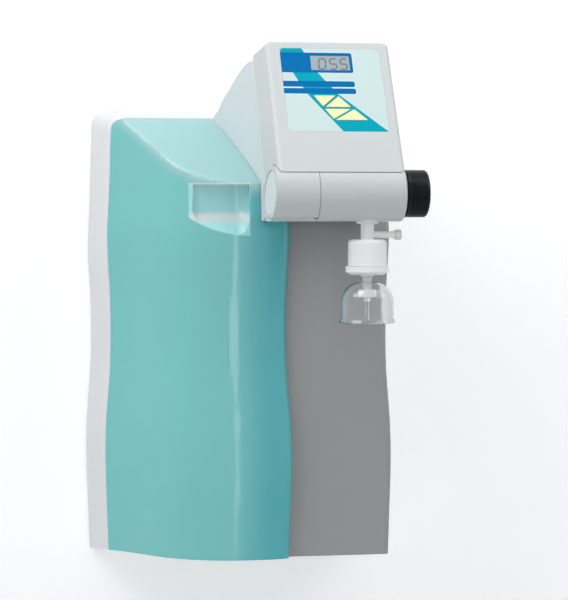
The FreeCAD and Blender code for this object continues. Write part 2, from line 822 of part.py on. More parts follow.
def lcd_module():
    body = head_box(lcd_left - module_rim, lcd_left + lcd_width + module_rim, lcd_low - module_rim,
                    lcd_low + lcd_height + module_rim / 2, board_out + seat_gap, cavity_face - seat_gap)
    cell = head_box(lcd_left + module_rim / 2, lcd_left + lcd_width - module_rim / 2, lcd_low + module_rim / 2,
                    lcd_low + lcd_height - module_rim / 2, cavity_face - seat_gap, cap_face_out - lcd_glass - seat_gap)
    return body.fuse(cell)


def key_board():
    return head_slab(keypad_left, keypad_left + keypad_width, keypad_low, keypad_low + keypad_height,
                     board_out - switch_board, board_out, keypad_corner)


def key_switch(shares):
    points = key_triangle(shares, 0)
    u = sum(p[0] for p in points) / len(points)
    v = sum(p[1] for p in points) / len(points)
    half = switch_side / 2
    top = cap_face_out + key_proud - key_thickness - key_travel - seat_gap / 2
    return head_box(u - half, u + half, v - half, v + half, board_out, top - switch_button).fuse(
        Part.makeCylinder(half / 2, top - board_out, head_at(u, v, board_out), head_out))


# Barrel under the head
def end_wedge(offset):
    # Everything to the left of the barrel's sloping end, moved right by the offset.
    side = 2 * barrel_radius + overrun
    wedge = Part.makeBox(side, 2 * side, 2 * side, Vector(-side, -side, -side))
    wedge.rotate(Vector(0, 0, 0), Vector(0, 1, 0), end_lean)
    wedge.rotate(Vector(0, 0, 0), Vector(0, 0, 1), end_toe)
    wedge.translate(at(barrel_left + offset, axis_fwd, axis_height))
    return wedge


def left_tube():
    start = barrel_left - barrel_radius
    tube = rod_x(start, barrel_seam - seam_line / 2, axis_fwd, axis_height, barrel_radius)
    tube = tube.cut(rod_x(start, barrel_seam + overrun, axis_fwd, axis_height, barrel_radius - barrel_wall))
    floor = rod_x(start, barrel_seam - seam_line / 2, axis_fwd, axis_height, barrel_radius - barrel_wall)
    floor = floor.cut(end_wedge(disc_inset + disc_thickness)).cut(
        rod_x(barrel_left + overrun / 2, barrel_seam, axis_fwd, axis_height, barrel_radius))
    rim = rod_x(start, barrel_seam, axis_fwd, axis_height, barrel_radius)
    rim = rim.cut(rod_x(start, barrel_seam, axis_fwd, axis_height, disc_radius + disc_gap))
    rim = rim.cut(rod_x(barrel_left + overrun / 2, barrel_seam, axis_fwd, axis_height, barrel_radius))
    return tube.fuse(floor).fuse(rim).cut(end_wedge(0))


def keel_block(grow):
    # The bottom strip of the left half, between two level joint lines.
    high = axis_height - barrel_radius * math.sin(math.radians(keel_angle)) + grow
    return block(barrel_left - overrun, barrel_seam + overrun, axis_fwd - barrel_radius - overrun,
                 axis_fwd + barrel_radius + overrun, high - barrel_radius, high)


def left_sleeve():
    return left_tube().cut(keel_block(keel_gap / 2))


def left_keel():
    return left_tube().common(keel_block(-keel_gap / 2))


def end_disc():
    disc = rod_x(barrel_left - barrel_radius, barrel_left + barrel_radius, axis_fwd, axis_height, disc_radius)
    disc = disc.cut(end_wedge(disc_inset))
    disc = disc.common(end_wedge(disc_inset + disc_thickness - seat_gap / 2))
    notch = block(barrel_left - overrun, barrel_left + overrun, axis_fwd - pry_width / 2, axis_fwd + pry_width / 2,
                  axis_height - disc_radius - overrun, axis_height - disc_radius + pry_depth)
    return disc.cut(notch)


def right_sleeve():
    tube = rod_x(barrel_seam + seam_line / 2, barrel_right, axis_fwd, axis_height, barrel_radius)
    bore_end = barrel_right - barrel_wall
    tube = tube.cut(rod_x(barrel_seam - overrun, bore_end, axis_fwd, axis_height, barrel_radius - barrel_wall))
    tube = tube.cut(rod_x(bore_end - overrun, barrel_right + overrun, axis_fwd, axis_height,
                          spindle_radius + part_gap))
    outer_rim = [edge for edge in tube.Edges
                 if abs(edge.BoundBox.XMin - barrel_right) < seat_gap and abs(edge.BoundBox.XMax - barrel_right) < seat_gap
                 and edge.BoundBox.ZLength > 2 * barrel_radius - part_gap]
    tube = tube.makeFillet(barrel_edge, outer_rim)
    return tube.cut(rod_up(outlet_x, axis_fwd, boss_low - overrun, axis_height, boss_radius + seat_gap / 2))


valve_right = barrel_right - barrel_wall - seat_gap


def valve_body():
    body = rod_x(valve_left, valve_right, axis_fwd, axis_height, valve_radius)
    flange = rod_x(valve_right - seal_width, valve_right, axis_fwd, axis_height,
                   barrel_radius - barrel_wall - seat_gap)
    body = body.fuse(flange)
    body = body.cut(rod_x(outlet_x - valve_radius, valve_right + overrun, axis_fwd, axis_height,
                          spindle_radius + running_gap))
    body = body.cut(rod_x(valve_right - seal_width, valve_right + overrun, axis_fwd, axis_height, seal_radius))
    return body.cut(rod_up(outlet_x, axis_fwd, axis_height - valve_radius - overrun, axis_height, bore_radius))


def spindle_seal():
    ring = rod_x(valve_right - seal_width + seat_gap, valve_right - seat_gap / 2, axis_fwd, axis_height,
                 seal_radius - running_gap)
    return ring.cut(rod_x(valve_left, barrel_right, axis_fwd, axis_height, spindle_radius + running_gap))


knob_left = barrel_right + seat_gap + collar_width + seat_gap
knob_right = knob_left + knob_length


def knob_flat(grow):
    high = axis_height + spindle_radius - spindle_flat + grow
    return block(knob_left, knob_right + overrun, axis_fwd - barrel_radius, axis_fwd + barrel_radius,
                 high, high + barrel_radius)


def valve_spindle():
    shaft = rod_x(outlet_x, knob_right - knob_edge - seat_gap, axis_fwd, axis_height, spindle_radius)
    return shaft.cut(knob_flat(0))


def knob():
    # A turned profile with fine rings round it
    pitch = (knob_length - knob_edge - knob_edge) / knob_grooves
    half = pitch * knob_groove_share / 2
    rim = [(knob_left, 0), (knob_left, knob_radius)]
    for index in range(knob_grooves):
        middle = knob_left + knob_edge + pitch * (index + 1 / 2)
        rim += [(middle - half, knob_radius), (middle, knob_radius - knob_groove_depth), (middle + half, knob_radius)]
    rim += [(knob_right, knob_radius), (knob_right, 0)]
    points = [at(x, axis_fwd, axis_height + radius) for x, radius in rim]
    face = Part.Face(Part.makePolygon(points + points[:1]))
    body = face.revolve(at(0, axis_fwd, axis_height), Vector(1, 0, 0), 360)
    edges = [edge for edge in body.Edges
             if edge.BoundBox.XLength < seat_gap and edge.BoundBox.XMin > knob_right - seat_gap]
    body = body.makeFillet(knob_edge, edges)
    socket = rod_x(knob_left - overrun, knob_right - knob_edge, axis_fwd, axis_height, spindle_radius + running_gap)
    return body.cut(socket.cut(knob_flat(running_gap)))


def knob_collar():
    ring = rod_x(barrel_right + seat_gap, barrel_right + seat_gap + collar_width, axis_fwd, axis_height, collar_radius)
    return ring.cut(rod_x(barrel_right - overrun, knob_right, axis_fwd, axis_height, spindle_radius + part_gap))


def outlet_boss():
    high = axis_height - valve_radius - seat_gap
    profile = [(bore_radius, boss_low + boss_socket), (spigot_radius + running_gap, boss_low + boss_socket),
               (spigot_radius + running_gap, boss_low), (boss_radius - boss_edge, boss_low),
               (boss_radius, boss_low + boss_edge), (boss_radius, high - boss_edge), (valve_radius / 2, high),
               (bore_radius, high)]
    return turned(profile, outlet_x, axis_fwd)


# Sterile filter, bell and nozzle
def filter_top():
    bend = capsule_shoulder * (1 - math.cos(math.pi / 4))
    low = capsule_low + seat_gap
    shell = [(spigot_radius, capsule_high), (capsule_radius - capsule_shoulder, capsule_high),
             (capsule_radius, capsule_high - capsule_shoulder), (capsule_radius, low),
             (capsule_radius - capsule_wall, low),
             (capsule_radius - capsule_wall, capsule_high - capsule_shoulder),
             (capsule_radius - capsule_shoulder, capsule_high - capsule_wall),
             (bore_radius, capsule_high - capsule_wall), (bore_radius, boss_low + boss_socket - seat_gap),
             (spigot_radius, boss_low + boss_socket - seat_gap)]
    arcs = {1: (capsule_radius - bend, capsule_high - bend)}
    body = turned(shell, outlet_x, axis_fwd, arcs)
    pipe = rod_x(outlet_x + bore_radius, outlet_x + vent_reach, axis_fwd, vent_height, vent_radius)
    pipe = pipe.cut(rod_x(outlet_x, outlet_x + vent_reach + overrun, axis_fwd, vent_height, bore_radius / 2))
    collar = rod_x(outlet_x + vent_reach - vent_collar, outlet_x + vent_reach, axis_fwd, vent_height,
                   vent_radius + vent_wing / 2).cut(
        rod_x(outlet_x, outlet_x + vent_reach + overrun, axis_fwd, vent_height, bore_radius / 2))
    well = rod_up(outlet_x, axis_fwd, capsule_high, boss_low + boss_socket, bore_radius)
    return body.fuse(pipe).fuse(collar).cut(well)


def filter_pack():
    # The pleated membrane pack inside the capsule
    points = []
    for index in range(2 * pleat_count):
        radius = pack_radius if index % 2 else pack_radius * pleat_share
        angle = math.pi * index / pleat_count
        points.append(at(outlet_x + radius * math.cos(angle), axis_fwd + radius * math.sin(angle),
                         capsule_low + capsule_wall + seat_gap))
    return extrude(points, Vector(0, 0, capsule_high - capsule_wall - seat_gap - capsule_low - capsule_wall - seat_gap))


def filter_base():
    profile = [(bore_radius, capsule_low + capsule_wall), (capsule_radius - capsule_wall - running_gap, capsule_low + capsule_wall),
               (capsule_radius - capsule_wall - running_gap, capsule_low), (rim_radius, capsule_low),
               (rim_radius, rim_low), (rim_cone_radius, rim_cone_low), (barb_radius, rim_cone_low)]
    height = rim_cone_low
    for index in range(barb_teeth):
        profile.append((barb_radius if index == 0 else barb_tooth_radius, height - barb_step / 3))
        profile.append((barb_neck_radius, height - barb_step))
        height -= barb_step
        if index < barb_teeth - 1:
            profile.append((barb_tooth_radius, height))
    profile.append((barb_neck_radius, barb_low))
    profile.append((bore_radius, barb_low))
    return turned(profile, outlet_x, axis_fwd)


def vent_knob():
    left = outlet_x + vent_reach + seat_gap
    body = rod_x(left, left + vent_knob_width, axis_fwd, vent_height, vent_knob_radius)
    edges = [edge for edge in body.Edges if edge.BoundBox.XLength < seat_gap]
    body = body.makeFillet(vent_knob_radius * vent_round_share, edges)
    for index in range(vent_flutes):
        angle = 2 * math.pi * index / vent_flutes
        flute = rod_x(left - overrun, left + vent_knob_width + overrun,
                      axis_fwd + (vent_knob_radius + vent_wing / 2) * math.cos(angle),
                      vent_height + (vent_knob_radius + vent_wing / 2) * math.sin(angle), vent_wing)
        body = body.cut(flute)
    stem = rod_x(left - vent_stem, left, axis_fwd, vent_height, bore_radius / 2 - running_gap)
    return body.fuse(stem)


def bell():
    crown = bell_radius - bell_shoulder
    bend = bell_shoulder * (1 - math.cos(math.pi / 4))
    inner = bell_shoulder - bell_wall
    inner_bend = inner * (1 - math.cos(math.pi / 4))
    hole = barb_tooth_radius + seat_gap
    inner_radius = bell_radius - bell_wall
    drop = bell_low + bell_flare_height
    profile = [(hole, bell_high), (crown, bell_high), (bell_radius, bell_high - bell_shoulder),
               (bell_radius, drop), (bell_radius + bell_flare, bell_low),
               (inner_radius + bell_flare, bell_low), (inner_radius, drop),
               (inner_radius, bell_high - bell_wall - inner), (inner_radius - inner, bell_high - bell_wall),
               (hole, bell_high - bell_wall)]
    arcs = {1: (bell_radius - bend, bell_high - bend),
            7: (inner_radius - inner_bend, bell_high - bell_wall - inner_bend)}
    return turned(profile, outlet_x, axis_fwd, arcs)


def nozzle():
    low = nozzle_high - nozzle_length
    bore = barb_neck_radius + running_gap
    profile = [(bore, nozzle_high), (nozzle_radius - nozzle_edge, nozzle_high), (nozzle_radius, nozzle_high - nozzle_edge),
               (nozzle_radius, low + nozzle_edge), (nozzle_tip_radius, low), (nozzle_tip_radius, low - nozzle_tip),
               (bore_radius, low - nozzle_tip), (bore_radius, barb_low - seat_gap), (bore, barb_low - seat_gap)]
    return turned(profile, outlet_x, axis_fwd)


# Hanging on the wall
def wall_bracket():
    half = bracket_width / 2
    low = hanger_height - bracket_height / 2
    high = hanger_height + bracket_height / 2
    profile = [at(-half, 0, low), at(-half, bracket_sheet, low), at(-half, bracket_sheet, high - bracket_sheet),
               at(-half, bracket_lip + bracket_sheet, high - bracket_sheet),
               at(-half, bracket_lip + bracket_sheet, high - bracket_sheet + bracket_lip_height),
               at(-half, bracket_lip, high - bracket_sheet + bracket_lip_height), at(-half, bracket_lip, high),
               at(-half, 0, high)]
    body = extrude(profile, Vector(bracket_width, 0, 0))
    for x, z in bracket_holes:
        body = body.cut(rod_fwd(x, -overrun, overrun, z, bracket_hole))
    return body


bracket_holes = [(sx * bracket_pitch_x / 2, hanger_height + sz * bracket_pitch_z / 2)
                 for sx in (-1, 1) for sz in (-1, 1)]


rail_screw_places = [-rail_width * rail_screw_share, 0, rail_width * rail_screw_share]
rail_top = hanger_height + bracket_height / 2 - bracket_sheet + bracket_lip_height + seat_gap
rail_screw_height = hanger_height


def hanger_rail():
    half = rail_width / 2
    back = bracket_sheet + part_gap
    front = pocket_depth - seat_gap
    low = hanger_height - bracket_height / 2 + bracket_lip
    profile = [at(-half, front, low), at(-half, front, rail_top + bracket_sheet),
               at(-half, back, rail_top + bracket_sheet), at(-half, back, rail_top + bracket_sheet - rail_hook),
               at(-half, back + bracket_sheet, rail_top + bracket_sheet - rail_hook),
               at(-half, back + bracket_sheet, rail_top), at(-half, front - bracket_sheet, rail_top),
               at(-half, front - bracket_sheet, low)]
    body = extrude(profile, Vector(rail_width, 0, 0))
    for x in rail_screw_places:
        body = body.cut(rod_fwd(x, 0, pocket_depth + overrun, rail_screw_height, rail_screw))
    return body


def rail_screws():
    screws = []
    for x in rail_screw_places:
        shank = rod_fwd(x, pocket_depth - seat_gap - bracket_sheet, pocket_depth + shell_wall + screw_head_height,
                        rail_screw_height, rail_screw - running_gap)
        head = rod_fwd(x, pocket_depth + shell_wall + seat_gap / 2, pocket_depth + shell_wall + screw_head_height,
                       rail_screw_height, screw_head - rail_screw)
        screws.append(shank.fuse(head))
    return Part.makeCompound(screws)


# Inside the shell and behind the covers
def chassis_plate():
    high = shell_height - top_draft - shell_wall - wave_depth - chassis_margin
    plate = block(-chassis_half, chassis_half, chassis_back, chassis_front, chassis_low, high)
    lip = block(chassis_flange - chassis_half, chassis_half - chassis_flange, chassis_back - chassis_flange,
                chassis_back, chassis_low, chassis_low + chassis_sheet)
    cable_hole = rod_fwd(0, 0, shell_depth, high - chassis_flange, cable_radius)
    body = plate.fuse(lip).cut(cable_hole)
    for x, z in boss_places:
        body = body.cut(rod_fwd(x, 0, shell_depth, z, rail_screw))
    return body.removeSplitter()


def chassis_screws():
    screws = []
    for x, z in boss_places:
        head = rod_fwd(x, chassis_front + seat_gap / 2, chassis_front + screw_head_height, z, screw_head - rail_screw)
        shank = rod_fwd(x, chassis_back, chassis_front + screw_head_height, z, rail_screw - running_gap)
        screws.append(head.fuse(shank))
    return Part.makeCompound(screws)


def rounded_box(x0, x1, f0, f1, z0, z1, radius):
    body = block(x0, x1, f0, f1, z0, z1)
    return body.makeFillet(radius, body.Edges)


def feed_tank():
    back = tank_back
    front = chassis_back - seat_gap
    outer = rounded_box(tank_left, tank_right, back, front, tank_low, tank_high, tank_corner)
    inner = rounded_box(tank_left + tank_wall, tank_right - tank_wall, back + tank_wall, front - tank_wall,
                        tank_low + tank_wall, tank_high - tank_wall, tank_corner - tank_wall)
    fwd = (back + front) / 2
    neck = rod_up(lid_x, fwd, tank_high - tank_wall, tank_high + lid_height - tank_wall, lid_radius - tank_wall)
    bore = rod_up(lid_x, fwd, tank_low + tank_corner, tank_high + lid_height, lid_radius - 2 * tank_wall)
    body = outer.fuse(neck).cut(inner).cut(bore)
    waist = []
    for share in tank_rib_shares:
        z = tank_low + (tank_high - tank_low) * share
        waist.append(rod_x(tank_left - overrun, tank_right + overrun, front + rib_radius - tank_wall / 2, z, rib_radius))
    return body.cut(Part.makeCompound(waist))


def tank_lid():
    fwd = (tank_back + chassis_back - seat_gap) / 2
    low = tank_high + seat_gap
    high = tank_high + lid_height
    outer = rod_up(lid_x, fwd, low, high, lid_radius + tank_wall)
    inner = rod_up(lid_x, fwd, low - overrun, high - tank_wall + seat_gap, lid_radius - tank_wall + seat_gap)
    body = outer.cut(inner)
    ribs = []
    for index in range(lid_ribs):
        angle = 2 * math.pi * index / lid_ribs
        radius = lid_radius + tank_wall
        ribs.append(rod_up(lid_x + radius * math.cos(angle), fwd + radius * math.sin(angle), low - overrun,
                           high - tank_wall, rib_radius / 2))
    return body.cut(Part.makeCompound(ribs))


def level_probe():
    fwd = (tank_back + chassis_back - seat_gap) / 2
    top = tank_high + lid_height - tank_wall
    stem = rod_up(lid_x, fwd, tank_low + tank_corner, top, rod_radius)
    sleeves = [stem]
    for share in tank_rib_shares:
        z = tank_low + (tank_high - tank_low) * share
        sleeves.append(rod_up(lid_x, fwd, z, z + probe_sleeve, rod_radius + tank_wall))
    return fused(sleeves)


def canister(x, fwd, low, length, radius, cap_radius, cap_length):
    # A round canister with a domed foot, a stepped ribbed cap and two stubs on top.
    foot = rod_up(x, fwd, low, low + length, radius)
    bottom = [edge for edge in foot.Edges if edge.BoundBox.ZLength < seat_gap and edge.BoundBox.ZMax < low + seat_gap]
    foot = foot.makeFillet(radius * dome_share, bottom)
    cap = rod_up(x, fwd, low + length, low + length + cap_length, cap_radius)
    top = [edge for edge in cap.Edges if edge.BoundBox.ZLength < seat_gap and edge.BoundBox.ZMin > low + length]
    cap = cap.makeFillet(cap_length * dome_share, top)
    grooves = []
    for index in range(cap_grooves):
        angle = 2 * math.pi * index / cap_grooves
        grooves.append(rod_up(x + cap_radius * math.cos(angle), fwd + cap_radius * math.sin(angle),
                              low + length - overrun, low + length + cap_length / 2, rib_radius / 2))
    return foot.fuse(cap.cut(Part.makeCompound(grooves)))


def cartridge(index):
    return canister(cartridge_x[index], cartridge_fwd, cartridge_low, cartridge_length, cartridge_radius,
                    cartridge_head_radius, cartridge_head)


def clip(x, fwd, z, radius):
    outer = rod_up(x, fwd, z - clip_height / 2, z + clip_height / 2, radius + seat_gap + clip_thickness)
    mouth = radius * clip_mouth_share
    base = block(x - radius * clip_mouth_share, x + radius * clip_mouth_share, chassis_front + seat_gap / 2, fwd,
                 z - clip_height / 2, z + clip_height / 2)
    body = outer.fuse(base).cut(rod_up(x, fwd, z - clip_height, z + clip_height, radius + seat_gap))
    return body.cut(block(x - 2 * radius, x + 2 * radius, fwd + mouth, fwd + 2 * radius, z - clip_height, z + clip_height))


def cartridge_clips():
    return Part.makeCompound([clip(x, cartridge_fwd, z, cartridge_radius) for x in cartridge_x
                              for z in (cartridge_low + cartridge_length * share for share in clip_shares)])


def uv_lamp():
    return canister(lamp_x, side_part_fwd, lamp_low, lamp_length, lamp_radius, lamp_radius + tank_wall / 2, lamp_cap)


def membrane_module():
    return canister(module_x, side_part_fwd, module_low, module_length, module_radius,
                    module_radius + tank_wall / 2, module_cap)


def module_clips():
    heights = [module_low + module_length * share for share in side_clip_shares]
    shapes = [clip(lamp_x, side_part_fwd, z, lamp_radius) for z in heights]
    shapes += [clip(module_x, side_part_fwd, z, module_radius) for z in heights]
    return Part.makeCompound(shapes)


def booster_pump():
    back = chassis_front + seat_gap
    half = pump_size / 2
    head = rounded_box(pump_x - half, pump_x + half, back, back + pump_size, pump_low, pump_low + pump_head, pump_round)
    motor = rod_up(pump_x, back + half, pump_low + pump_head, pump_low + pump_head + pump_motor_length,
                   pump_motor_radius)
    fins = []
    for index in range(pump_fins):
        z = pump_low + pump_head + pump_motor_length * (index + 1) / (pump_fins + 1)
        ring = rod_up(pump_x, back + half, z, z + tank_wall / 2, pump_motor_radius + tank_wall / 2)
        fins.append(ring)
    return fused([head, motor] + fins)


def circulation_pump():
    radius = small_pump_radius
    fwd = chassis_front + seat_gap + radius
    body = rod_up(small_pump_x, fwd, pump_low, pump_low + small_pump_length, radius)
    volute = rod_up(small_pump_x, fwd, pump_low, pump_low + pump_round, radius)
    spout = rod_x(small_pump_x - radius - spout_length, small_pump_x, fwd, pump_low + pump_round, spout_radius)
    return fused([body, volute, spout])


def power_supply():
    width, height = supply_width, supply_height
    back = shell_wall + seat_gap
    front = back + supply_depth
    case = block(supply_left, supply_left + width, back, front, supply_low, supply_low + height)
    slots = []
    pitch = width / (supply_slots + 1)
    for index in range(supply_slots):
        x = supply_left + pitch * (index + 1)
        slots.append(block(x - slot_width / 2, x + slot_width / 2, front - shell_wall, front + overrun,
                           supply_low + height * slot_share, supply_low + height * (1 - slot_share)))
    return case.cut(Part.makeCompound(slots))


def control_board():
    front = chassis_back - spacer_length
    sheet = block(supply_left, supply_left + supply_width, front - board_thickness, front, board_low, board_low + board_height)
    parts = [sheet]
    for x_share, z_share, w_share, h_share, depth in board_part_shares:
        x = supply_left + supply_width * x_share
        z = board_low + board_height * z_share
        parts.append(block(x, x + supply_width * w_share, front - board_thickness - board_part_depth * depth,
                           front - board_thickness, z, z + board_height * h_share))
    return fused(parts)


def board_spacers():
    front = chassis_back - spacer_length
    inset = post_radius + part_gap
    posts = []
    for x in (supply_left + inset, supply_left + supply_width - inset):
        for z in (board_low + inset, board_low + board_height - inset):
            posts.append(rod_fwd(x, front, chassis_back, z, post_radius))
    return Part.makeCompound(posts)


def solenoid_valve():
    width, depth, height = valve_block
    back = chassis_front + seat_gap
    body = block(valve_block_x - width / 2, valve_block_x + width / 2, back, back + depth,
                 valve_block_low, valve_block_low + height / 2)
    coil = rod_up(valve_block_x, back + depth / 2, valve_block_low + height / 2, valve_block_low + height, coil_radius)
    inlet = rod_x(valve_block_x - width / 2 - spout_length, valve_block_x + width / 2 + spout_length,
                  back + depth / 2, valve_block_low + height / 4, spout_radius)
    return fused([body, coil, inlet])


# Connections through the shell's floor
def floor_height(fwd):
    return foot_draft * fwd / shell_depth


def feed_fittings():
    fittings = []
    for x in port_x:
        nut_high = floor_height(port_fwd - port_nut_radius) - seat_gap
        inner_low = floor_height(port_fwd + port_nut_radius) + shell_wall * floor_stretch + seat_gap
        body = rod_up(x, port_fwd, port_low, inner_low + port_tail, port_radius)
        nut = rod_up(x, port_fwd, port_low + port_lip, nut_high, port_nut_radius)
        lock = rod_up(x, port_fwd, inner_low, inner_low + port_lock, port_nut_radius)
        bore = rod_up(x, port_fwd, port_low - overrun, port_low + port_tail, port_bore)
        fittings.append(body.fuse(nut).fuse(lock).cut(bore))
    return Part.makeCompound(fittings)


def power_inlet():
    width, depth = inlet_size
    lip_high = floor_height(inlet_fwd - depth / 2 - inlet_lip) - seat_gap
    body = block(inlet_x - width / 2, inlet_x + width / 2, inlet_fwd - depth / 2, inlet_fwd + depth / 2,
                 port_low + inlet_lip, port_low + inlet_height)
    lip = block(inlet_x - width / 2 - inlet_lip, inlet_x + width / 2 + inlet_lip, inlet_fwd - depth / 2 - inlet_lip,
                inlet_fwd + depth / 2 + inlet_lip, lip_high - inlet_lip, lip_high)
    body = body.fuse(lip)
    body = body.cut(block(inlet_x - width / 2 + inlet_rim, inlet_x + width / 2 - inlet_rim,
                          inlet_fwd - depth / 2 + inlet_rim, inlet_fwd + depth / 2 - inlet_rim,
                          port_low - overrun, port_low + inlet_height - inlet_rim))
    pins = []
    for index, row in ((-1, 0), (0, 1), (1, 0)):
        x = inlet_x + index * pin_pitch
        fwd = inlet_fwd - pin_size[1] / 2 + row * pin_size[1]
        pins.append(block(x - pin_size[0] / 2, x + pin_size[0] / 2, fwd - pin_size[1] / 2, fwd + pin_size[1] / 2,
                          port_low + pin_rise, port_low + inlet_height - inlet_rim))
    return fused([body] + pins)


rocker_pivot = floor_height(inlet_fwd) - rocker_sink


def switch_frame():
    width, depth = rocker_size
    outer_w = width / 2 + inlet_lip
    outer_d = depth / 2 + inlet_lip
    lip_high = floor_height(inlet_fwd - outer_d - 2 * inlet_lip) - seat_gap
    high = port_low + inlet_height
    body = block(switch_x - outer_w, switch_x + outer_w, inlet_fwd - outer_d, inlet_fwd + outer_d, lip_high - inlet_lip, high)
    lip = block(switch_x - outer_w - inlet_lip, switch_x + outer_w + inlet_lip, inlet_fwd - outer_d - inlet_lip,
                inlet_fwd + outer_d + inlet_lip, lip_high - inlet_lip, lip_high)
    body = body.fuse(lip)
    body = body.cut(block(switch_x - width / 2 - seat_gap, switch_x + width / 2 + seat_gap,
                          inlet_fwd - depth / 2 - part_gap, inlet_fwd + depth / 2 + part_gap,
                          lip_high - overrun, rocker_pivot + rocker_height))
    return body.cut(rod_x(switch_x - width / 2 - inlet_lip / 2, switch_x + width / 2 + inlet_lip / 2, inlet_fwd,
                          rocker_pivot, axle_radius + running_gap))


def rocker_switch():
    width, depth = rocker_size
    dish = depth * rocker_dish_share
    profile = [at(switch_x - width / 2, inlet_fwd - depth / 2, rocker_pivot - rocker_face),
               at(switch_x - width / 2, inlet_fwd, rocker_pivot - rocker_face + dish),
               at(switch_x - width / 2, inlet_fwd + depth / 2, rocker_pivot - rocker_face),
               at(switch_x - width / 2, inlet_fwd + depth / 2 - part_gap, rocker_pivot + axle_radius),
               at(switch_x - width / 2, inlet_fwd, rocker_pivot + 2 * axle_radius),
               at(switch_x - width / 2, inlet_fwd - depth / 2 + part_gap, rocker_pivot + axle_radius)]
    body = extrude(profile, Vector(width, 0, 0))
    axle = rod_x(switch_x - width / 2 - inlet_lip / 2 + seat_gap, switch_x + width / 2 + inlet_lip / 2 - seat_gap,
                 inlet_fwd, rocker_pivot, axle_radius)
    body = body.fuse(axle)
    body.rotate(at(switch_x, inlet_fwd, rocker_pivot), Vector(1, 0, 0), -rocker_angle)
    return body


# Every piece under its own name
pieces = {
    "wall_bracket": wall_bracket, "hanger_rail": hanger_rail,
    "rail_screws": rail_screws, "back_shell": back_shell, "chassis_plate": chassis_plate,
    "chassis_screws": chassis_screws, "front_panel": front_panel, "front_cover": front_cover,
    "feed_tank": feed_tank, "tank_lid": tank_lid, "level_probe": level_probe,
    "pretreatment_cartridge": lambda: cartridge(0), "polishing_cartridge": lambda: cartridge(1),
    "cartridge_clips": cartridge_clips, "uv_lamp": uv_lamp, "membrane_module": membrane_module,
    "module_clips": module_clips, "booster_pump": booster_pump, "circulation_pump": circulation_pump,
    "power_supply": power_supply, "control_board": control_board, "board_spacers": board_spacers,
    "solenoid_valve": solenoid_valve, "feed_fittings": feed_fittings, "power_inlet": power_inlet,
    "switch_frame": switch_frame, "rocker_switch": rocker_switch, "neck_housing": neck_housing,
    "head_flange": head_flange, "head_cap": head_cap, "keypad_membrane": keypad_membrane,
    "lcd_window": lcd_window, "lcd_module": lcd_module, "key_board": key_board,
    "left_sleeve": left_sleeve, "left_keel": left_keel, "end_disc": end_disc, "right_sleeve": right_sleeve,
    "valve_body": valve_body, "spindle_seal": spindle_seal, "valve_spindle": valve_spindle, "knob": knob,
    "knob_collar": knob_collar, "outlet_boss": outlet_boss, "filter_top": filter_top,
    "filter_pack": filter_pack, "filter_base": filter_base, "vent_knob": vent_knob, "bell": bell,
    "nozzle": nozzle,
}
for number, shares in enumerate(key_shares, start=1):
    pieces["key_%d" % number] = lambda shares=shares: key_prism(
        shares, 0, cap_face_out + key_proud - key_thickness, cap_face_out + key_proud)
pieces["key_switches"] = lambda: Part.makeCompound([key_switch(shares) for shares in key_shares])

os.makedirs("parts", exist_ok=True)
for name, make in pieces.items():
    shape = make()
    shape.translate(Vector(0, 0, -hanger_height))
    shape.exportStep("parts/%s.step" % name)
    print(name, len(shape.Solids), shape.isValid(), round(shape.Volume))
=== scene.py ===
import bpy
import json
import math
from mathutils import Matrix, Vector

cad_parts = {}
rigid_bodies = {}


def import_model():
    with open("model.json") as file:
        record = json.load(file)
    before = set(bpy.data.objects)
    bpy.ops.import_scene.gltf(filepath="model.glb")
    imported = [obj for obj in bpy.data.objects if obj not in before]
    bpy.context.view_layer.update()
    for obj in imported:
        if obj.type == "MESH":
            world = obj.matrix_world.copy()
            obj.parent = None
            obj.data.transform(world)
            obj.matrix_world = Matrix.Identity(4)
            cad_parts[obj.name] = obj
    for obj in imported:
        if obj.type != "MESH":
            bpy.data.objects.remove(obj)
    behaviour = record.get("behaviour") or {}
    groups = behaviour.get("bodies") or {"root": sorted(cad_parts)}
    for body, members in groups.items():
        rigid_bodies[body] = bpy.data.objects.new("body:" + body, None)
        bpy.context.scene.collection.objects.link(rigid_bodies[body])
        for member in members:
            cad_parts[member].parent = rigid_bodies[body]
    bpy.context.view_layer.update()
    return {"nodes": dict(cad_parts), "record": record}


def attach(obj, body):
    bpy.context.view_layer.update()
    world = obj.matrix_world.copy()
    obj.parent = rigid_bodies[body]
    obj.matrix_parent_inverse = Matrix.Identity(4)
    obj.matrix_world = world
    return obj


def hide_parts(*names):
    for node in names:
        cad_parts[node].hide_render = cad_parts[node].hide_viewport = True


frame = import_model()
nodes = frame["nodes"]
print("frame loaded")

hanger = 0.430  # the written origin's height above the shell's lower edge


def place(x, fwd, z):
    # millimetres right, forward of the wall and above the shell's lower edge, as metres in the frame
    return Vector((x / 1000, -fwd / 1000, z / 1000 - hanger))


# The leaning head: u across, v up the face, w out of it, from the barrel's axis
head = {"fwd": 334.0, "height": 391.7, "lean": math.radians(31.4)}


def onHead(u, v, w):
    fwd = head["fwd"] + w * math.cos(head["lean"]) - v * math.sin(head["lean"])
    z = head["height"] + w * math.sin(head["lean"]) + v * math.cos(head["lean"])
    return place(u, fwd, z)


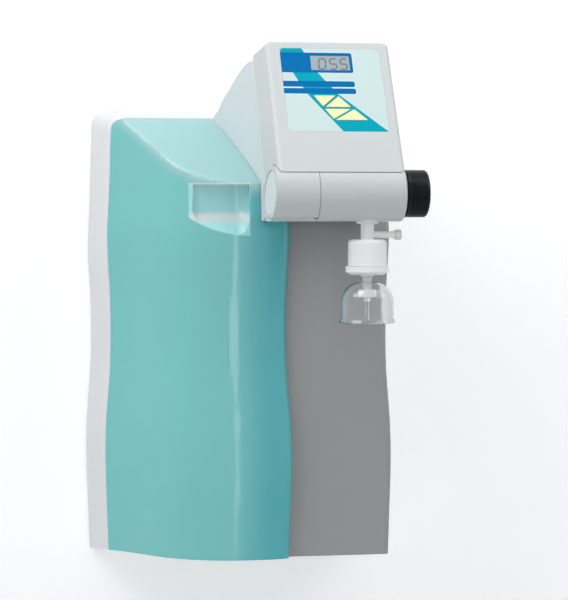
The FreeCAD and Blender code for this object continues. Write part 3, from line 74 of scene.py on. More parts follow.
# Camera: a long lens a little to the left, just below the shell's middle
cameraFacts = {
    "spot": (-362.7, 2440.6, 373.7),  # mm right, forward of the wall, above the shell's lower edge
    "turn": 10.0,  # degrees to the right
    "tip": -2.291,  # degrees up
    "lens": 132.0,
    "sensor": 36.0,
    "far": 20.0,
}
cameraData = bpy.data.cameras.new("photoCamera")
cameraData.lens = cameraFacts["lens"]
cameraData.sensor_width = cameraFacts["sensor"]
cameraData.clip_end = cameraFacts["far"]
camera = bpy.data.objects.new("photoCamera", cameraData)
bpy.context.scene.collection.objects.link(camera)
camera.location = place(*cameraFacts["spot"])
turn, tip = math.radians(cameraFacts["turn"]), math.radians(cameraFacts["tip"])
look = Vector((math.sin(turn) * math.cos(tip), math.cos(turn) * math.cos(tip), math.sin(tip)))
camera.rotation_euler = look.to_track_quat("-Z", "Y").to_euler()
bpy.context.scene.camera = camera
bpy.context.scene.view_settings.view_transform = "Standard"
print("camera set")


# Shader groups that several finishes share
def newGroup(name, inputs, outputs):
    group = bpy.data.node_groups.new(name, "ShaderNodeTree")
    for label, kind, value in inputs:
        socket = group.interface.new_socket(name=label, in_out="INPUT", socket_type=kind)
        socket.default_value = value
    for label, kind in outputs:
        group.interface.new_socket(name=label, in_out="OUTPUT", socket_type=kind)
    entry = group.nodes.new("NodeGroupInput")
    leave = group.nodes.new("NodeGroupOutput")
    return group, entry, leave


def mathNode(tree, operation, first, second=None):
    node = tree.nodes.new("ShaderNodeMath")
    node.operation = operation
    for index, value in enumerate((first, second)):
        if value is None:
            continue
        if isinstance(value, (int, float)):
            node.inputs[index].default_value = value
        else:
            tree.links.new(value, node.inputs[index])
    return node.outputs[0]


def makeNoise(group, entry, facts):
    # noise over the piece's own coordinates, at the size that the group is given
    coords = group.nodes.new("ShaderNodeTexCoord")
    noise = group.nodes.new("ShaderNodeTexNoise")
    noise.inputs["Detail"].default_value = facts["detail"]
    noise.inputs["Roughness"].default_value = facts["rough"]
    group.links.new(coords.outputs["Object"], noise.inputs["Vector"])
    group.links.new(entry.outputs["Size"], noise.inputs["Scale"])
    return noise.outputs[0]


toneFacts = {
    "drift": 0.04, "size": 9.0, "dust": 0.03, "detail": 3, "rough": 0.5, "dustColor": (0.62, 0.6, 0.57),
}


def makeToneGroup():
    # slow drift of a moulded surface's colour, and a little dust on what faces up
    group, entry, leave = newGroup("mouldedTone", [
        ("Color", "NodeSocketColor", (0.8, 0.8, 0.8, 1)),
        ("Drift", "NodeSocketFloat", toneFacts["drift"]),
        ("Size", "NodeSocketFloat", toneFacts["size"]),
        ("Dust", "NodeSocketFloat", toneFacts["dust"])],
        [("Color", "NodeSocketColor")])
    links = group.links
    noise = makeNoise(group, entry, toneFacts)
    centred = mathNode(group, "SUBTRACT", noise, 0.5)
    swing = mathNode(group, "MULTIPLY", centred, entry.outputs["Drift"])
    level = mathNode(group, "ADD", swing, 1.0)
    shade = group.nodes.new("ShaderNodeVectorMath")
    shade.operation = "SCALE"
    links.new(entry.outputs["Color"], shade.inputs[0])
    links.new(level, shade.inputs["Scale"])
    normal = group.nodes.new("ShaderNodeNewGeometry")
    split = group.nodes.new("ShaderNodeSeparateXYZ")
    links.new(normal.outputs["Normal"], split.inputs[0])
    up = mathNode(group, "MAXIMUM", split.outputs[2], 0.0)
    dusty = mathNode(group, "MULTIPLY", mathNode(group, "MULTIPLY", up, noise), entry.outputs["Dust"])
    mix = group.nodes.new("ShaderNodeMix")
    mix.data_type = "RGBA"
    mix.inputs["B"].default_value = (*toneFacts["dustColor"], 1)
    links.new(dusty, mix.inputs["Factor"])
    links.new(shade.outputs[0], mix.inputs["A"])
    links.new(mix.outputs["Result"], leave.inputs["Color"])
    return group


touchFacts = {"spread": 0.08, "size": 30.0, "detail": 5, "rough": 0.6}


def makeTouchGroup():
    # roughness that wanders where hands and cloths have been
    group, entry, leave = newGroup("handledRoughness", [
        ("Roughness", "NodeSocketFloat", 0.4),
        ("Spread", "NodeSocketFloat", touchFacts["spread"]),
        ("Size", "NodeSocketFloat", touchFacts["size"])],
        [("Roughness", "NodeSocketFloat")])
    centred = mathNode(group, "SUBTRACT", makeNoise(group, entry, touchFacts), 0.5)
    swing = mathNode(group, "MULTIPLY", centred, entry.outputs["Spread"])
    rough = mathNode(group, "ADD", swing, entry.outputs["Roughness"])
    group.links.new(rough, leave.inputs["Roughness"])
    return group


grainFacts = {"size": 900.0, "depth": 1.0, "detail": 2, "rough": 0.5, "bump": 0.0004}


def makeGrainGroup():
    # the fine spark-eroded grain of moulded plastic
    group, entry, leave = newGroup("fineGrain", [
        ("Size", "NodeSocketFloat", grainFacts["size"]),
        ("Depth", "NodeSocketFloat", grainFacts["depth"])],
        [("Height", "NodeSocketFloat")])
    height = mathNode(group, "MULTIPLY", makeNoise(group, entry, grainFacts), entry.outputs["Depth"])
    group.links.new(height, leave.inputs["Height"])
    return group


def makeRampMask(group, value, low, high):
    # 0 below low, 1 above high, with soft ends
    ramp = group.nodes.new("ShaderNodeMapRange")
    ramp.interpolation_type = "SMOOTHSTEP"
    ramp.inputs["From Min"].default_value = low
    ramp.inputs["From Max"].default_value = high
    group.links.new(value, ramp.inputs["Value"])
    return ramp.outputs["Result"]


# Where painted light and shade go on the aqua cover, in metres; heights are above the shell's lower edge
paintedLightPlaces = {
    "facetAt": (0.221, 0.402),  # forward and height of the ridge under the sloping facet
    "facetRise": 0.8,  # how steeply the facet falls forward
    "facetSoft": (-0.016, -0.001),
    # painted shade: the cover's right side is darkened in its colour
    "shaded": (-0.036, 0.02),  # the right side gets deeper between these
    "scoopX": (-0.0685, -0.0665, -0.0075, -0.0055),
    "scoopFloor": (0.203, 0.372, 1.139),  # forward and height of its knee, and its slope
    "floorEdge": (-0.0014, -0.0003),
    "brow": (0.4015, 0.4025),
    # painted highlights: a thin line along the scoop's brow, and a band along the knee of its floor
    "browHighlight": (0.4006, 0.4014, 0.4026, 0.4036),
    "highlight": (0.361, 0.366, 0.370, 0.376),
}


def makeBandMask(group, value, rise, top, fall, end):
    # 1 between top and fall, 0 outside rise and end
    up = makeRampMask(group, value, rise, top)
    down = makeRampMask(group, value, fall, end)
    return mathNode(group, "MULTIPLY", up, mathNode(group, "SUBTRACT", 1.0, down))


def makePaintedLightGroup():
    # painted light and shade in the aqua cover's colour: painted light on the sloping facet and in the grip's
    # scoop, where it lifts the shade under the brow, painted shade down the right side, and painted highlights
    # along the scoop's floor and brow
    group, entry, leave = newGroup("coverPaintedLight", [
        ("Color", "NodeSocketColor", (0.3, 0.7, 0.7, 1)),
        ("Shaded", "NodeSocketColor", (0.1, 0.5, 0.55, 1)),
        ("Pale", "NodeSocketColor", (0.7, 0.9, 0.9, 1)),
        ("Scoop", "NodeSocketColor", (0.5, 0.9, 0.9, 1)),
        ("Highlight", "NodeSocketColor", (0.9, 1.0, 1.0, 1))],
        [("Color", "NodeSocketColor")])
    links = group.links
    coords = group.nodes.new("ShaderNodeTexCoord")
    split = group.nodes.new("ShaderNodeSeparateXYZ")
    links.new(coords.outputs["Object"], split.inputs[0])
    x = split.outputs[0]
    fwd = mathNode(group, "MULTIPLY", split.outputs[1], -1.0)
    z = mathNode(group, "ADD", split.outputs[2], hanger)
    # painted shade, darker towards the right
    shaded = makeRampMask(group, x, *paintedLightPlaces["shaded"])
    # painted light on the facet, which faces up
    beyondRidge = mathNode(group, "SUBTRACT", fwd, paintedLightPlaces["facetAt"][0])
    out = mathNode(group, "MULTIPLY", beyondRidge, paintedLightPlaces["facetRise"])
    above = mathNode(group, "SUBTRACT", z, paintedLightPlaces["facetAt"][1])
    facet = makeRampMask(group, mathNode(group, "ADD", out, above), *paintedLightPlaces["facetSoft"])
    # painted light in the scoop, lifting the shade under its brow
    across = makeBandMask(group, x, *paintedLightPlaces["scoopX"])
    kneeFwd, kneeHigh, slope = paintedLightPlaces["scoopFloor"]
    beyond = mathNode(group, "MULTIPLY", mathNode(group, "SUBTRACT", fwd, kneeFwd), slope)
    overFloor = mathNode(group, "ADD", mathNode(group, "SUBTRACT", z, kneeHigh), beyond)
    under = mathNode(group, "SUBTRACT", 1.0, makeRampMask(group, z, *paintedLightPlaces["brow"]))
    aboveFloor = makeRampMask(group, overFloor, *paintedLightPlaces["floorEdge"])
    within = mathNode(group, "MULTIPLY", aboveFloor, under)
    scoop = mathNode(group, "MULTIPLY", across, within)
    # painted highlights: a band on the scoop's floor and a line along its brow
    highlight = mathNode(group, "MULTIPLY", scoop, makeBandMask(group, z, *paintedLightPlaces["highlight"]))
    line = mathNode(group, "MULTIPLY", across, makeBandMask(group, z, *paintedLightPlaces["browHighlight"]))
    color = entry.outputs["Color"]
    layers = ((shaded, "Shaded"), (facet, "Pale"), (scoop, "Scoop"), (highlight, "Highlight"), (line, "Highlight"))
    for mask, label in layers:
        mix = group.nodes.new("ShaderNodeMix")
        mix.data_type = "RGBA"
        links.new(mask, mix.inputs["Factor"])
        links.new(color, mix.inputs["A"])
        links.new(entry.outputs[label], mix.inputs["B"])
        color = mix.outputs["Result"]
    links.new(color, leave.inputs["Color"])
    return group


toneGroup = makeToneGroup()
paintedLightGroup = makePaintedLightGroup()
touchGroup = makeTouchGroup()
grainGroup = makeGrainGroup()
print("shader groups built")

finishes = {
    "shellWhite": {"color": (0.80, 0.815, 0.825), "roughness": 0.5, "grain": 0.05},
    "panelGrey": {"color": (0.33, 0.33, 0.33), "roughness": 0.5, "grain": 0.06},
    # neckPale: pale plastic, whose blue cast is a painted reflection of the aqua cover
    "neckPale": {"color": (0.67, 0.75, 0.77), "roughness": 0.45, "grain": 0.04},
    "capPale": {"color": (0.605, 0.64, 0.65), "roughness": 0.42, "grain": 0.04},
    "bossPale": {"color": (0.78, 0.80, 0.80), "roughness": 0.38, "grain": 0.03},
    "barrelPale": {"color": (0.59, 0.62, 0.625), "roughness": 0.38, "grain": 0.03},
    "keypadFilm": {"color": (0.62, 0.765, 0.76), "roughness": 0.45, "grain": 0.02, "specular": 0.2},
    "keyYellow": {"color": (0.90, 0.93, 0.50), "roughness": 0.45, "grain": 0.02, "specular": 0.2},
    "filmLine": {"color": (0.78, 0.86, 0.87), "roughness": 0.45, "grain": 0.02, "specular": 0.2},
    "stripeTeal": {"color": (0.0, 0.39, 0.51), "roughness": 0.45, "grain": 0.02, "specular": 0.0},
    "printBlue": {"color": (0.0, 0.165, 0.45), "roughness": 0.45, "grain": 0.02, "specular": 0.0},
    "lcdGrey": {"color": (0.32, 0.385, 0.42), "roughness": 0.25, "grain": 0.0},
    "lcdInk": {"color": (0.10, 0.12, 0.13), "roughness": 0.4, "grain": 0.0},
    "knobBlack": {"color": (0.002, 0.0024, 0.0028), "roughness": 0.13, "grain": 0.0, "specular": 0.2},
    "collarGrey": {"color": (0.35, 0.37, 0.38), "roughness": 0.45, "grain": 0.03},
    "ventWhite": {"color": (0.80, 0.80, 0.76), "roughness": 0.35, "grain": 0.02},
    "packWhite": {"color": (0.82, 0.82, 0.80), "roughness": 0.8, "grain": 0.2},
    "steel": {"color": (0.55, 0.56, 0.57), "roughness": 0.32, "metallic": 1.0, "grain": 0.03},
    "zinc": {"color": (0.52, 0.54, 0.56), "roughness": 0.45, "metallic": 0.7, "grain": 0.05},
    "carrierPale": {"color": (0.78, 0.80, 0.81), "roughness": 0.5, "grain": 0.04},
    "tankNatural": {"color": (0.70, 0.76, 0.75), "roughness": 0.4, "grain": 0.03},
    "lidBlue": {"color": (0.06, 0.19, 0.42), "roughness": 0.4, "grain": 0.03},
    "cartridgeWhite": {"color": (0.76, 0.79, 0.80), "roughness": 0.3, "grain": 0.02},
    "clipGrey": {"color": (0.20, 0.21, 0.22), "roughness": 0.5, "grain": 0.05},
    "pumpBlack": {"color": (0.03, 0.03, 0.034), "roughness": 0.45, "grain": 0.08},
    "supplyMetal": {"color": (0.6, 0.61, 0.62), "roughness": 0.4, "metallic": 0.9, "grain": 0.03},
    "boardGreen": {"color": (0.02, 0.16, 0.08), "roughness": 0.4, "grain": 0.03},
    "spacerBrass": {"color": (0.62, 0.44, 0.16), "roughness": 0.35, "metallic": 1.0, "grain": 0.02},
    "fittingWhite": {"color": (0.74, 0.76, 0.76), "roughness": 0.35, "grain": 0.02},
    "inletBlack": {"color": (0.02, 0.02, 0.022), "roughness": 0.45, "grain": 0.06},
    "sealBlack": {"color": (0.015, 0.015, 0.016), "roughness": 0.6, "grain": 0.05},
    "valveWhite": {"color": (0.62, 0.65, 0.67), "roughness": 0.4, "grain": 0.03},
}


def makeFinish(name, facts):
    material = bpy.data.materials.new(name)
    material.use_nodes = True
    tree = material.node_tree
    shader = tree.nodes["Principled BSDF"]
    shader.inputs["Metallic"].default_value = facts.get("metallic", 0.0)
    shader.inputs["Specular IOR Level"].default_value = facts.get("specular", 0.5)
    tone = tree.nodes.new("ShaderNodeGroup")
    tone.node_tree = toneGroup
    tone.inputs["Color"].default_value = (*facts["color"], 1)
    tone.inputs["Drift"].default_value = facts.get("drift", toneFacts["drift"])
    tree.links.new(tone.outputs["Color"], shader.inputs["Base Color"])
    touch = tree.nodes.new("ShaderNodeGroup")
    touch.node_tree = touchGroup
    touch.inputs["Roughness"].default_value = facts["roughness"]
    tree.links.new(touch.outputs["Roughness"], shader.inputs["Roughness"])
    if facts["grain"]:
        grain = tree.nodes.new("ShaderNodeGroup")
        grain.node_tree = grainGroup
        bump = tree.nodes.new("ShaderNodeBump")
        bump.inputs["Distance"].default_value = grainFacts["bump"]
        bump.inputs["Strength"].default_value = facts["grain"]
        tree.links.new(grain.outputs["Height"], bump.inputs["Height"])
        tree.links.new(bump.outputs["Normal"], shader.inputs["Normal"])
    return material


materials = {name: makeFinish(name, facts) for name, facts in finishes.items()}

# Translucent and clear plastics: the transmission is set on the shader itself
plasticIndex = 1.45
coatRoughness = 0.12
clearDrift = 0.02
clearFacts = {
    # coverAqua: its own aqua colour, then a darker colour for painted shade on the right side, paler ones for
    # painted light on the facet and in the grip's scoop, and a near-white painted highlight
    "coverAqua": {"color": (0.25, 0.765, 0.755), "shaded": (0.10, 0.60, 0.65), "pale": (0.49, 0.83, 0.83),
                  "scoop": (0.52, 1.0, 1.0), "highlight": (0.95, 1.0, 1.0),
                  "roughness": 0.42, "transmission": 0.3, "ior": plasticIndex, "coat": 0.8},
    "milky": {"color": (0.99, 0.99, 0.985), "roughness": 0.35, "transmission": 0.04, "ior": plasticIndex},
    "bellClear": {"color": (0.965, 0.975, 0.975), "roughness": 0.03, "transmission": 1.0, "ior": plasticIndex},
}
for name, facts in clearFacts.items():
    surface = {"color": facts["color"], "roughness": facts["roughness"], "grain": 0.0, "drift": clearDrift}
    material = makeFinish(name, surface)
    shader = material.node_tree.nodes["Principled BSDF"]
    shader.inputs["Transmission Weight"].default_value = facts["transmission"]
    shader.inputs["IOR"].default_value = facts["ior"]
    shader.inputs["Coat Weight"].default_value = facts.get("coat", 0.0)
    shader.inputs["Coat Roughness"].default_value = coatRoughness
    # the cover's painted light and shade group feeds its base colour
    if "shaded" in facts:
        tree = material.node_tree
        paintedLight = tree.nodes.new("ShaderNodeGroup")
        paintedLight.node_tree = paintedLightGroup
        for label in ("color", "shaded", "pale", "scoop", "highlight"):
            paintedLight.inputs[label.capitalize()].default_value = (*facts[label], 1)
        tone = shader.inputs["Base Color"].links[0].from_node
        tree.links.new(paintedLight.outputs["Color"], tone.inputs["Color"])
    materials[name] = material
print("finishes made")

# The finish of each CAD piece
nodeFinish = {
    "wall_bracket": "steel", "hanger_rail": "zinc", "rail_screws": "steel", "back_shell": "shellWhite",
    "chassis_plate": "carrierPale", "chassis_screws": "steel", "front_panel": "panelGrey",
    "front_cover": "coverAqua",
    "feed_tank": "tankNatural", "tank_lid": "lidBlue", "level_probe": "steel",
    "pretreatment_cartridge": "cartridgeWhite", "polishing_cartridge": "cartridgeWhite",
    "cartridge_clips": "clipGrey", "uv_lamp": "steel", "membrane_module": "cartridgeWhite",
    "module_clips": "clipGrey", "booster_pump": "pumpBlack", "circulation_pump": "pumpBlack",
    "power_supply": "supplyMetal", "control_board": "boardGreen", "board_spacers": "spacerBrass",
    "solenoid_valve": "inletBlack", "feed_fittings": "fittingWhite", "power_inlet": "inletBlack",
    "switch_frame": "inletBlack", "rocker_switch": "inletBlack", "neck_housing": "neckPale",
    "head_flange": "neckPale", "head_cap": "capPale", "keypad_membrane": "keypadFilm",
    "lcd_window": "lcdGrey", "lcd_module": "collarGrey", "key_board": "boardGreen",
    "left_sleeve": "barrelPale", "left_keel": "barrelPale", "end_disc": "neckPale",
    "right_sleeve": "barrelPale", "valve_body": "valveWhite", "spindle_seal": "sealBlack",
    "valve_spindle": "steel", "knob": "knobBlack", "knob_collar": "sealBlack", "outlet_boss": "bossPale",
    "filter_top": "milky", "filter_pack": "packWhite", "filter_base": "milky", "vent_knob": "ventWhite",
    "bell": "bellClear", "nozzle": "ventWhite", "key_switches": "inletBlack",
    "key_1": "keyYellow", "key_2": "keyYellow", "key_3": "keyYellow", "key_4": "keyYellow",
}
bodyOf = {node: body for body, members in frame["record"]["behaviour"]["bodies"].items() for node in members}


def clearSelection():
    bpy.ops.object.select_all(action="DESELECT")


def pickOnly(piece):
    clearSelection()
    piece.select_set(True)
    bpy.context.view_layer.objects.active = piece


def unselect(*groups):
    # clears the selection marks of a mesh's points, edges or faces
    for group in groups:
        for item in group:
            item.select = False


def selectEdges(piece, wanted):
    # selects each edge for which wanted(its two face normals, its two ends) holds
    mesh = piece.data
    normals = {}
    for face in mesh.polygons:
        for key in face.edge_keys:
            normals.setdefault(key, []).append(face.normal.copy())
    unselect(mesh.vertices, mesh.polygons)
    for edge in mesh.edges:
        pair = normals.get(edge.key, [])
        ends = [mesh.vertices[index].co for index in edge.vertices]
        edge.select = len(pair) == 2 and wanted(pair, ends)
    bpy.context.tool_settings.mesh_select_mode = (False, True, False)
    bpy.ops.object.mode_set(mode="EDIT")


def isSharp(pair, angle):
    return pair[0].angle(pair[1], 0) > math.radians(angle)


# The translucent cover: rounder edges, and a soft ridge where its facet starts; metres and degrees
coverFacts = {
    "angle": 30,  # edges sharper than this are rounded
    "edge": 0.0014,
    "edgeSteps": 3,
    "neckEdge": 0.0045,
    "neckSteps": 4,
    "neckFrom": (-0.045, 0.36),  # the neck's edge lies right of and above this
    "neckTurn": 0.4,  # how far its side faces right
    "profile": 0.5,
    "grid": 0.004,  # spacing of the cuts that give the ridge points to move
    "gridX": (-0.148, 0.02),
    "gridZ": (0.37, 0.472),
    "near": 0.0006,
    "facetUp": (0.5, 0.9),  # how far the facet and the upright front face up and forward
    "frontUp": 0.3,
    "frontOut": -0.2,
    "rings": 4,
    "holdAngle": 12,  # edges sharper than this stay where they are
    "pull": 0.5,
    "rounds": 6,
}


def aboveFacet(point):
    # height over the facet's plane
    fwd = -point[1] - paintedLightPlaces["facetAt"][0]
    return point[2] + hanger - paintedLightPlaces["facetAt"][1] + paintedLightPlaces["facetRise"] * fwd


def onRidge(pair, ends):
    # between the facet, which leans back, and the upright front
    steep, flat = sorted(pair, key=lambda normal: normal[2])
    least, most = coverFacts["facetUp"]
    if not least < flat[2] < most:
        return False
    if abs(steep[2]) >= coverFacts["frontUp"] or steep[1] >= coverFacts["frontOut"]:
        return False
    return all(abs(aboveFacet(end)) < coverFacts["near"] for end in ends)


def atNeck(pair, ends):
    left, low = coverFacts["neckFrom"]
    near = all(end[0] > left and end[2] + hanger > low for end in ends)
    raised = all(aboveFacet(end) > -coverFacts["near"] for end in ends)
    return near and raised and max(normal[0] for normal in pair) > coverFacts["neckTurn"]


def roundEdges(width, steps):
    bpy.ops.mesh.bevel(offset=width, segments=steps, profile=coverFacts["profile"], affect="EDGES",
                       clamp_overlap=True)


def softenCover(piece):
    facts = coverFacts
    selectEdges(piece, lambda pair, ends: isSharp(pair, facts["angle"]) and atNeck(pair, ends))
    roundEdges(facts["neckEdge"], facts["neckSteps"])
    bpy.ops.object.mode_set(mode="OBJECT")
    selectEdges(piece, lambda pair, ends: isSharp(pair, facts["angle"]) and not onRidge(pair, ends))
    roundEdges(facts["edge"], facts["edgeSteps"])
    heights = [value - hanger for value in facts["gridZ"]]
    for axis, (low, high) in ((0, facts["gridX"]), (2, heights)):
        for step in range(int((high - low) / facts["grid"])):
            spot, normal = [0, 0, 0], [0, 0, 0]
            spot[axis], normal[axis] = low + step * facts["grid"], 1
            bpy.ops.mesh.select_all(action="SELECT")
            bpy.ops.mesh.bisect(plane_co=spot, plane_no=normal)
    bpy.ops.object.mode_set(mode="OBJECT")
    selectEdges(piece, onRidge)
    bpy.ops.mesh.select_mode(type="VERT")
    for ring in range(facts["rings"]):
        bpy.ops.mesh.select_more()
    bpy.ops.object.mode_set(mode="OBJECT")
    band = [vertex.index for vertex in piece.data.vertices if vertex.select]
    selectEdges(piece, lambda pair, ends: isSharp(pair, facts["holdAngle"]) and not onRidge(pair, ends))
    bpy.ops.object.mode_set(mode="OBJECT")
    held = set()
    for edge in piece.data.edges:
        if edge.select:
            held.update(edge.vertices)
    bpy.context.tool_settings.mesh_select_mode = (True, False, False)
    unselect(piece.data.edges, piece.data.polygons, piece.data.vertices)
    for index in band:
        piece.data.vertices[index].select = index not in held
    bpy.ops.object.mode_set(mode="EDIT")
    bpy.ops.mesh.vertices_smooth(factor=facts["pull"], repeat=facts["rounds"])
    bpy.ops.object.mode_set(mode="OBJECT")
    print("cover softened:", len(band), "points in its ridge,", len(piece.data.polygons), "faces")


mergeFacts = {"gap": 0.000002, "flat": 0.6, "smooth": 32.0}  # metres, degrees, degrees


def smoothCopy(node, shape=None):
    # a merged copy of a CAD node, with smooth curves and crisp edges
    copy = nodes[node].copy()
    copy.data = nodes[node].data.copy()
    copy.name = node + ".dressed"
    copy.parent = None
    bpy.context.scene.collection.objects.link(copy)
    copy.matrix_world = Matrix.Identity(4)
    pickOnly(copy)
    bpy.ops.object.mode_set(mode="EDIT")
    bpy.ops.mesh.select_all(action="SELECT")
    bpy.ops.mesh.remove_doubles(threshold=mergeFacts["gap"])
    bpy.ops.mesh.customdata_custom_splitnormals_clear()
    if shape:
        bpy.ops.mesh.dissolve_limited(angle_limit=math.radians(mergeFacts["flat"]))
    bpy.ops.object.mode_set(mode="OBJECT")
    if shape:
        shape(copy)
    bpy.ops.object.shade_smooth_by_angle(angle=math.radians(mergeFacts["smooth"]))
    weigh = copy.modifiers.new("evenShading", "WEIGHTED_NORMAL")
    weigh.keep_sharp = True
    bpy.ops.object.modifier_apply(modifier=weigh.name)
    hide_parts(node)
    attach(copy, bodyOf[node])
    return copy


shapers = {"front_cover": softenCover}
dressed = {}
for node, finish in nodeFinish.items():
    piece = smoothCopy(node, shapers.get(node))
    piece.data.materials.clear()
    piece.data.materials.append(materials[finish])
    dressed[node] = piece
print("cad pieces dressed")

# Printed film of the keypad: a copy of the film, cut along the print's edges, each field in its own ink
faceTurn = Matrix.Identity(4)
leanSin, leanCos = math.sin(head["lean"]), math.cos(head["lean"])
for row, values in enumerate(((1, 0, 0), (0, leanSin, -leanCos), (0, leanCos, leanSin))):
    for column, value in enumerate(values):
        faceTurn[row][column] = value / 1000
    faceTurn[row][3] = onHead(0, 0, 0)[row]
faceBack = faceTurn.inverted()

# millimetres across and up the face
printFacts = {
    "displayBlock": [(12.0, 124.0), (86.4, 124.0), (86.4, 148.2), (12.0, 148.2)],
    "upperBar": [(12.0, 107.0), (86.2, 107.0), (86.2, 114.0), (12.0, 114.0)],
    "lowerBar": [(12.0, 98.8), (86.6, 98.8), (86.6, 105.4), (12.0, 105.4)],
    "stripeLeft": [(11.4, 156.0), (25.3, 123.2), (29.4, 114.1), (37.9, 97.6), (68.6, 55.0), (70.0, 53.0)],
    "stripeRight": [(35.0, 156.0), (50.5, 123.5), (56.7, 114.4), (68.8, 97.9), (113.5, 55.4), (116.0, 53.0)],
    "line": 0.8,
    "round": 2.2,
    "roundSteps": 3,
    "shortest": 0.01,  # sides shorter than this aren't cut
}
blueNames = ("displayBlock", "upperBar", "lowerBar")


def grown(corners, by):
    us = [u for u, v in corners]
    vs = [v for u, v in corners]
    return [(min(us) - by, min(vs) - by), (max(us) + by, min(vs) - by),
            (max(us) + by, max(vs) + by), (min(us) - by, max(vs) + by)]


def rounded(corners, radius):
    # a level rectangle whose right corners are rounded
    (u0, v0), (u1, v1) = corners[0], corners[2]
    soft = [(u0, v0)]
    steps = printFacts["roundSteps"]
    for centreV, start in ((v0 + radius, -90), (v1 - radius, 0)):
        for step in range(steps + 1):
            angle = math.radians(start + step * 90 / steps)
            soft.append((u1 - radius + radius * math.cos(angle), centreV + radius * math.sin(angle)))
    soft.append((u0, v1))
    return soft


def inside(u, v, corners):
    # whether a point lies in an outline, by the sides to its right
    hit = False
    for index, (u0, v0) in enumerate(corners):
        u1, v1 = corners[index - 1]
        if (v0 > v) != (v1 > v) and u < u0 + (u1 - u0) * (v - v0) / (v1 - v0):
            hit = not hit
    return hit


blueFields = [rounded(printFacts[name], printFacts["round"]) for name in blueNames]
lineRound = printFacts["round"] + printFacts["line"]
lineFields = [rounded(grown(printFacts[name], printFacts["line"]), lineRound) for name in blueNames]
stripe = printFacts["stripeLeft"] + printFacts["stripeRight"][::-1]

film = dressed["keypad_membrane"]
film.data.transform(faceBack)
pickOnly(film)
bpy.ops.object.mode_set(mode="EDIT")
for field in blueFields + lineFields + [stripe]:
    for index, (u0, v0) in enumerate(field):
        u1, v1 = field[index - 1]
        if math.hypot(u1 - u0, v1 - v0) > printFacts["shortest"]:
            bpy.ops.mesh.select_all(action="SELECT")
            across = Vector((v1 - v0, u0 - u1, 0)).normalized()
            bpy.ops.mesh.bisect(plane_co=(u0, v0, 0), plane_no=across)
bpy.ops.object.mode_set(mode="OBJECT")
inks = ["keypadFilm", "filmLine", "stripeTeal", "printBlue"]
for ink in inks[1:]:
    film.data.materials.append(materials[ink])
for face in film.data.polygons:
    u, v, _ = face.center
    if any(inside(u, v, field) for field in blueFields):
        face.material_index = inks.index("printBlue")
    elif inside(u, v, stripe):
        face.material_index = inks.index("stripeTeal")
    elif any(inside(u, v, field) for field in lineFields):
        face.material_index = inks.index("filmLine")
film.data.transform(faceTurn)
print("keypad printed")

# Display digits: one bar modelled, then copied to each lit segment
digitFacts = {
    "width": 6.6,
    "height": 12.4,
    "bar": 1.5,
    "between": 0.5,  # what a bar leaves free at its ends
    "starts": (51.8, 62.9, 73.6),
    "foot": 128.6,
    "lit": ("abcdef", "acdfg", "acdfg"),
    "depth": 0.05,
    "out": 26.85,
    "slant": 0.08,
}


def segmentBar(length, width):
    # a flat bar with pointed ends
    bpy.ops.mesh.primitive_plane_add(size=1, location=(0, 0, 0))
    bar = bpy.context.object
    bar.scale = (length, width, 1)
    bpy.ops.object.transform_apply(location=True, rotation=True, scale=True)
    bpy.ops.object.mode_set(mode="EDIT")
    for sx in (-1, 1):
        for sy in (-1, 1):
            bpy.ops.mesh.select_all(action="SELECT")
            slope = Vector((sx, sy, 0)).normalized()
            bpy.ops.mesh.bisect(plane_co=(sx * length / 2, 0, 0), plane_no=slope, clear_outer=True)
    bpy.ops.mesh.select_all(action="SELECT")
    bpy.ops.mesh.extrude_region_move(TRANSFORM_OT_translate={"value": (0, 0, digitFacts["depth"])})
    bpy.ops.mesh.select_all(action="SELECT")
    bpy.ops.mesh.normals_make_consistent(inside=False)
    bpy.ops.object.mode_set(mode="OBJECT")
    return bar


clearSelection()
halfHigh = digitFacts["height"] / 2
level = segmentBar(digitFacts["width"] - digitFacts["between"], digitFacts["bar"])
clearSelection()
upright = segmentBar(halfHigh - digitFacts["between"], digitFacts["bar"])
upright.data.transform(Matrix.Rotation(math.pi / 2, 4, "Z"))
# each segment's bar, its place in widths across and in half heights up
segmentPlaces = {
    "a": (level, 0.5, 2), "d": (level, 0.5, 0), "g": (level, 0.5, 1), "b": (upright, 1, 1.5),
    "c": (upright, 1, 0.5), "e": (upright, 0, 0.5), "f": (upright, 0, 1.5),
}
bars = []
for start, lit in zip(digitFacts["starts"], digitFacts["lit"]):
    for letter in lit:
        source, across, up = segmentPlaces[letter]
        bar = source.copy()
        bar.data = source.data.copy()
        bpy.context.scene.collection.objects.link(bar)
        v = digitFacts["foot"] + up * halfHigh
        u = start + across * digitFacts["width"] + digitFacts["slant"] * up * halfHigh
        bar.data.transform(Matrix.Translation((u, v, digitFacts["out"])))
        bars.append(bar)
for spare in (level, upright):
    bpy.data.objects.remove(spare)
clearSelection()
for bar in bars:
    bar.select_set(True)
bpy.context.view_layer.objects.active = bars[0]
bpy.ops.object.join()
digits = bpy.context.object
digits.name = "displayDigits"
digits.data.transform(faceTurn)
digits.data.materials.append(materials["lcdInk"])
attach(digits, bodyOf["lcd_window"])
print("display digits laid")

# Wall-like backdrop, seen only from the front, and a floor well below
stageFacts = {
    "behind": 0.0015,
    "reach": 4.0,
    "floor": -1.1,
    "tone": (0.74, 0.745, 0.75),  # what lights the object
    "seen": (0.97, 0.975, 0.98),  # what the camera, mirrors and glass show
    "lift": 0.24,
    "roughness": 0.9,
}


def seenMask(tree, light):
    # 1 for rays that show the backdrop: to the camera, off a mirror or through glass
    seen = light.outputs["Is Camera Ray"]
    for ray in ("Is Glossy Ray", "Is Transmission Ray"):
        seen = mathNode(tree, "MAXIMUM", seen, light.outputs[ray])
    return seen


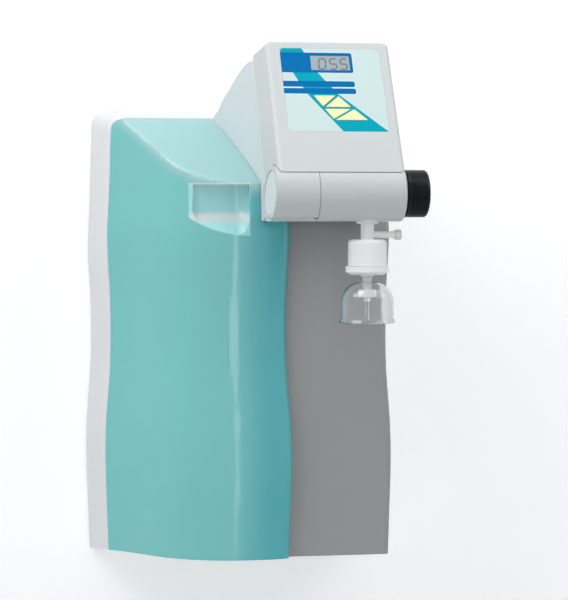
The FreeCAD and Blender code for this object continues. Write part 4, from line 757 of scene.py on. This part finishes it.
def stageSheet(name, centre, size, tilt, oneSided):
    clearSelection()
    bpy.ops.mesh.primitive_plane_add(size=1, location=centre, rotation=(tilt, 0, 0))
    sheet = bpy.context.object
    sheet.name = name
    sheet.scale = (*size, 1)
    bpy.ops.object.transform_apply(location=True, rotation=True, scale=True)
    material = bpy.data.materials.new(name)
    material.use_nodes = True
    tree = material.node_tree
    shader = tree.nodes["Principled BSDF"]
    shader.inputs["Roughness"].default_value = stageFacts["roughness"]
    light = tree.nodes.new("ShaderNodeLightPath")
    tone = tree.nodes.new("ShaderNodeMix")
    tone.data_type = "RGBA"
    tone.inputs["A"].default_value = (*stageFacts["tone"], 1)
    tone.inputs["B"].default_value = (*stageFacts["seen"], 1)
    tree.links.new(seenMask(tree, light), tone.inputs["Factor"])
    tree.links.new(tone.outputs["Result"], shader.inputs["Base Color"])
    shader.inputs["Emission Color"].default_value = (*stageFacts["seen"], 1)
    lift = mathNode(tree, "MULTIPLY", light.outputs["Is Camera Ray"], stageFacts["lift"])
    tree.links.new(lift, shader.inputs["Emission Strength"])
    if oneSided:
        geometry = tree.nodes.new("ShaderNodeNewGeometry")
        clear = tree.nodes.new("ShaderNodeBsdfTransparent")
        mix = tree.nodes.new("ShaderNodeMixShader")
        tree.links.new(geometry.outputs["Backfacing"], mix.inputs[0])
        tree.links.new(shader.outputs[0], mix.inputs[1])
        tree.links.new(clear.outputs[0], mix.inputs[2])
        tree.links.new(mix.outputs[0], tree.nodes["Material Output"].inputs["Surface"])
    sheet.data.materials.append(material)


reach, behind, floor = stageFacts["reach"], stageFacts["behind"], stageFacts["floor"]
stageSheet("backdrop", (0, behind, (reach + floor) / 2), (2 * reach, reach - floor), math.pi / 2, True)
stageSheet("floor", (0, 0, floor), (2 * reach, 2 * reach), 0, False)

# Soft studio light: two large lamps at the sides, one above, and a narrow one for the cover's streak
lampFacts = {
    "key": {"spot": (-1.84, -1.06, 2.0), "size": 2.0, "power": 48},
    "fill": {"spot": (1.75, -1.25, 1.7), "size": 2.0, "power": 23},
    "top": {"spot": (0.05, -0.75, 2.1), "size": 1.3, "power": 6},
    "strip": {"spot": (-0.14, -2.5, 0.0), "size": 0.12, "tall": 1.8, "power": 3.2},
}
aim = Vector((0, -0.15, -0.15))  # the middle of the unit
for name, facts in lampFacts.items():
    lamp = bpy.data.lights.new(name, "AREA")
    lamp.shape = "RECTANGLE"
    lamp.size = facts["size"]
    lamp.size_y = facts.get("tall", facts["size"])
    lamp.energy = facts["power"]
    lampObject = bpy.data.objects.new(name, lamp)
    lampObject.location = facts["spot"]
    lampObject.rotation_euler = (aim - Vector(facts["spot"])).to_track_quat("-Z", "Y").to_euler()
    bpy.context.scene.collection.objects.link(lampObject)

# The world lights softly, and past the stage it is seen paler
worldFacts = {"color": (0.9, 0.92, 0.94), "power": 0.4, "seen": 0.98}
world = bpy.data.worlds.new("studio")
world.use_nodes = True
skyTree = world.node_tree
sky = skyTree.nodes["Background"]
sky.inputs["Color"].default_value = (*worldFacts["color"], 1)
light = skyTree.nodes.new("ShaderNodeLightPath")
paler = mathNode(skyTree, "MULTIPLY", seenMask(skyTree, light), worldFacts["seen"] - worldFacts["power"])
skyTree.links.new(mathNode(skyTree, "ADD", paler, worldFacts["power"]), sky.inputs["Strength"])
bpy.context.scene.world = world
print("stage and lights set")
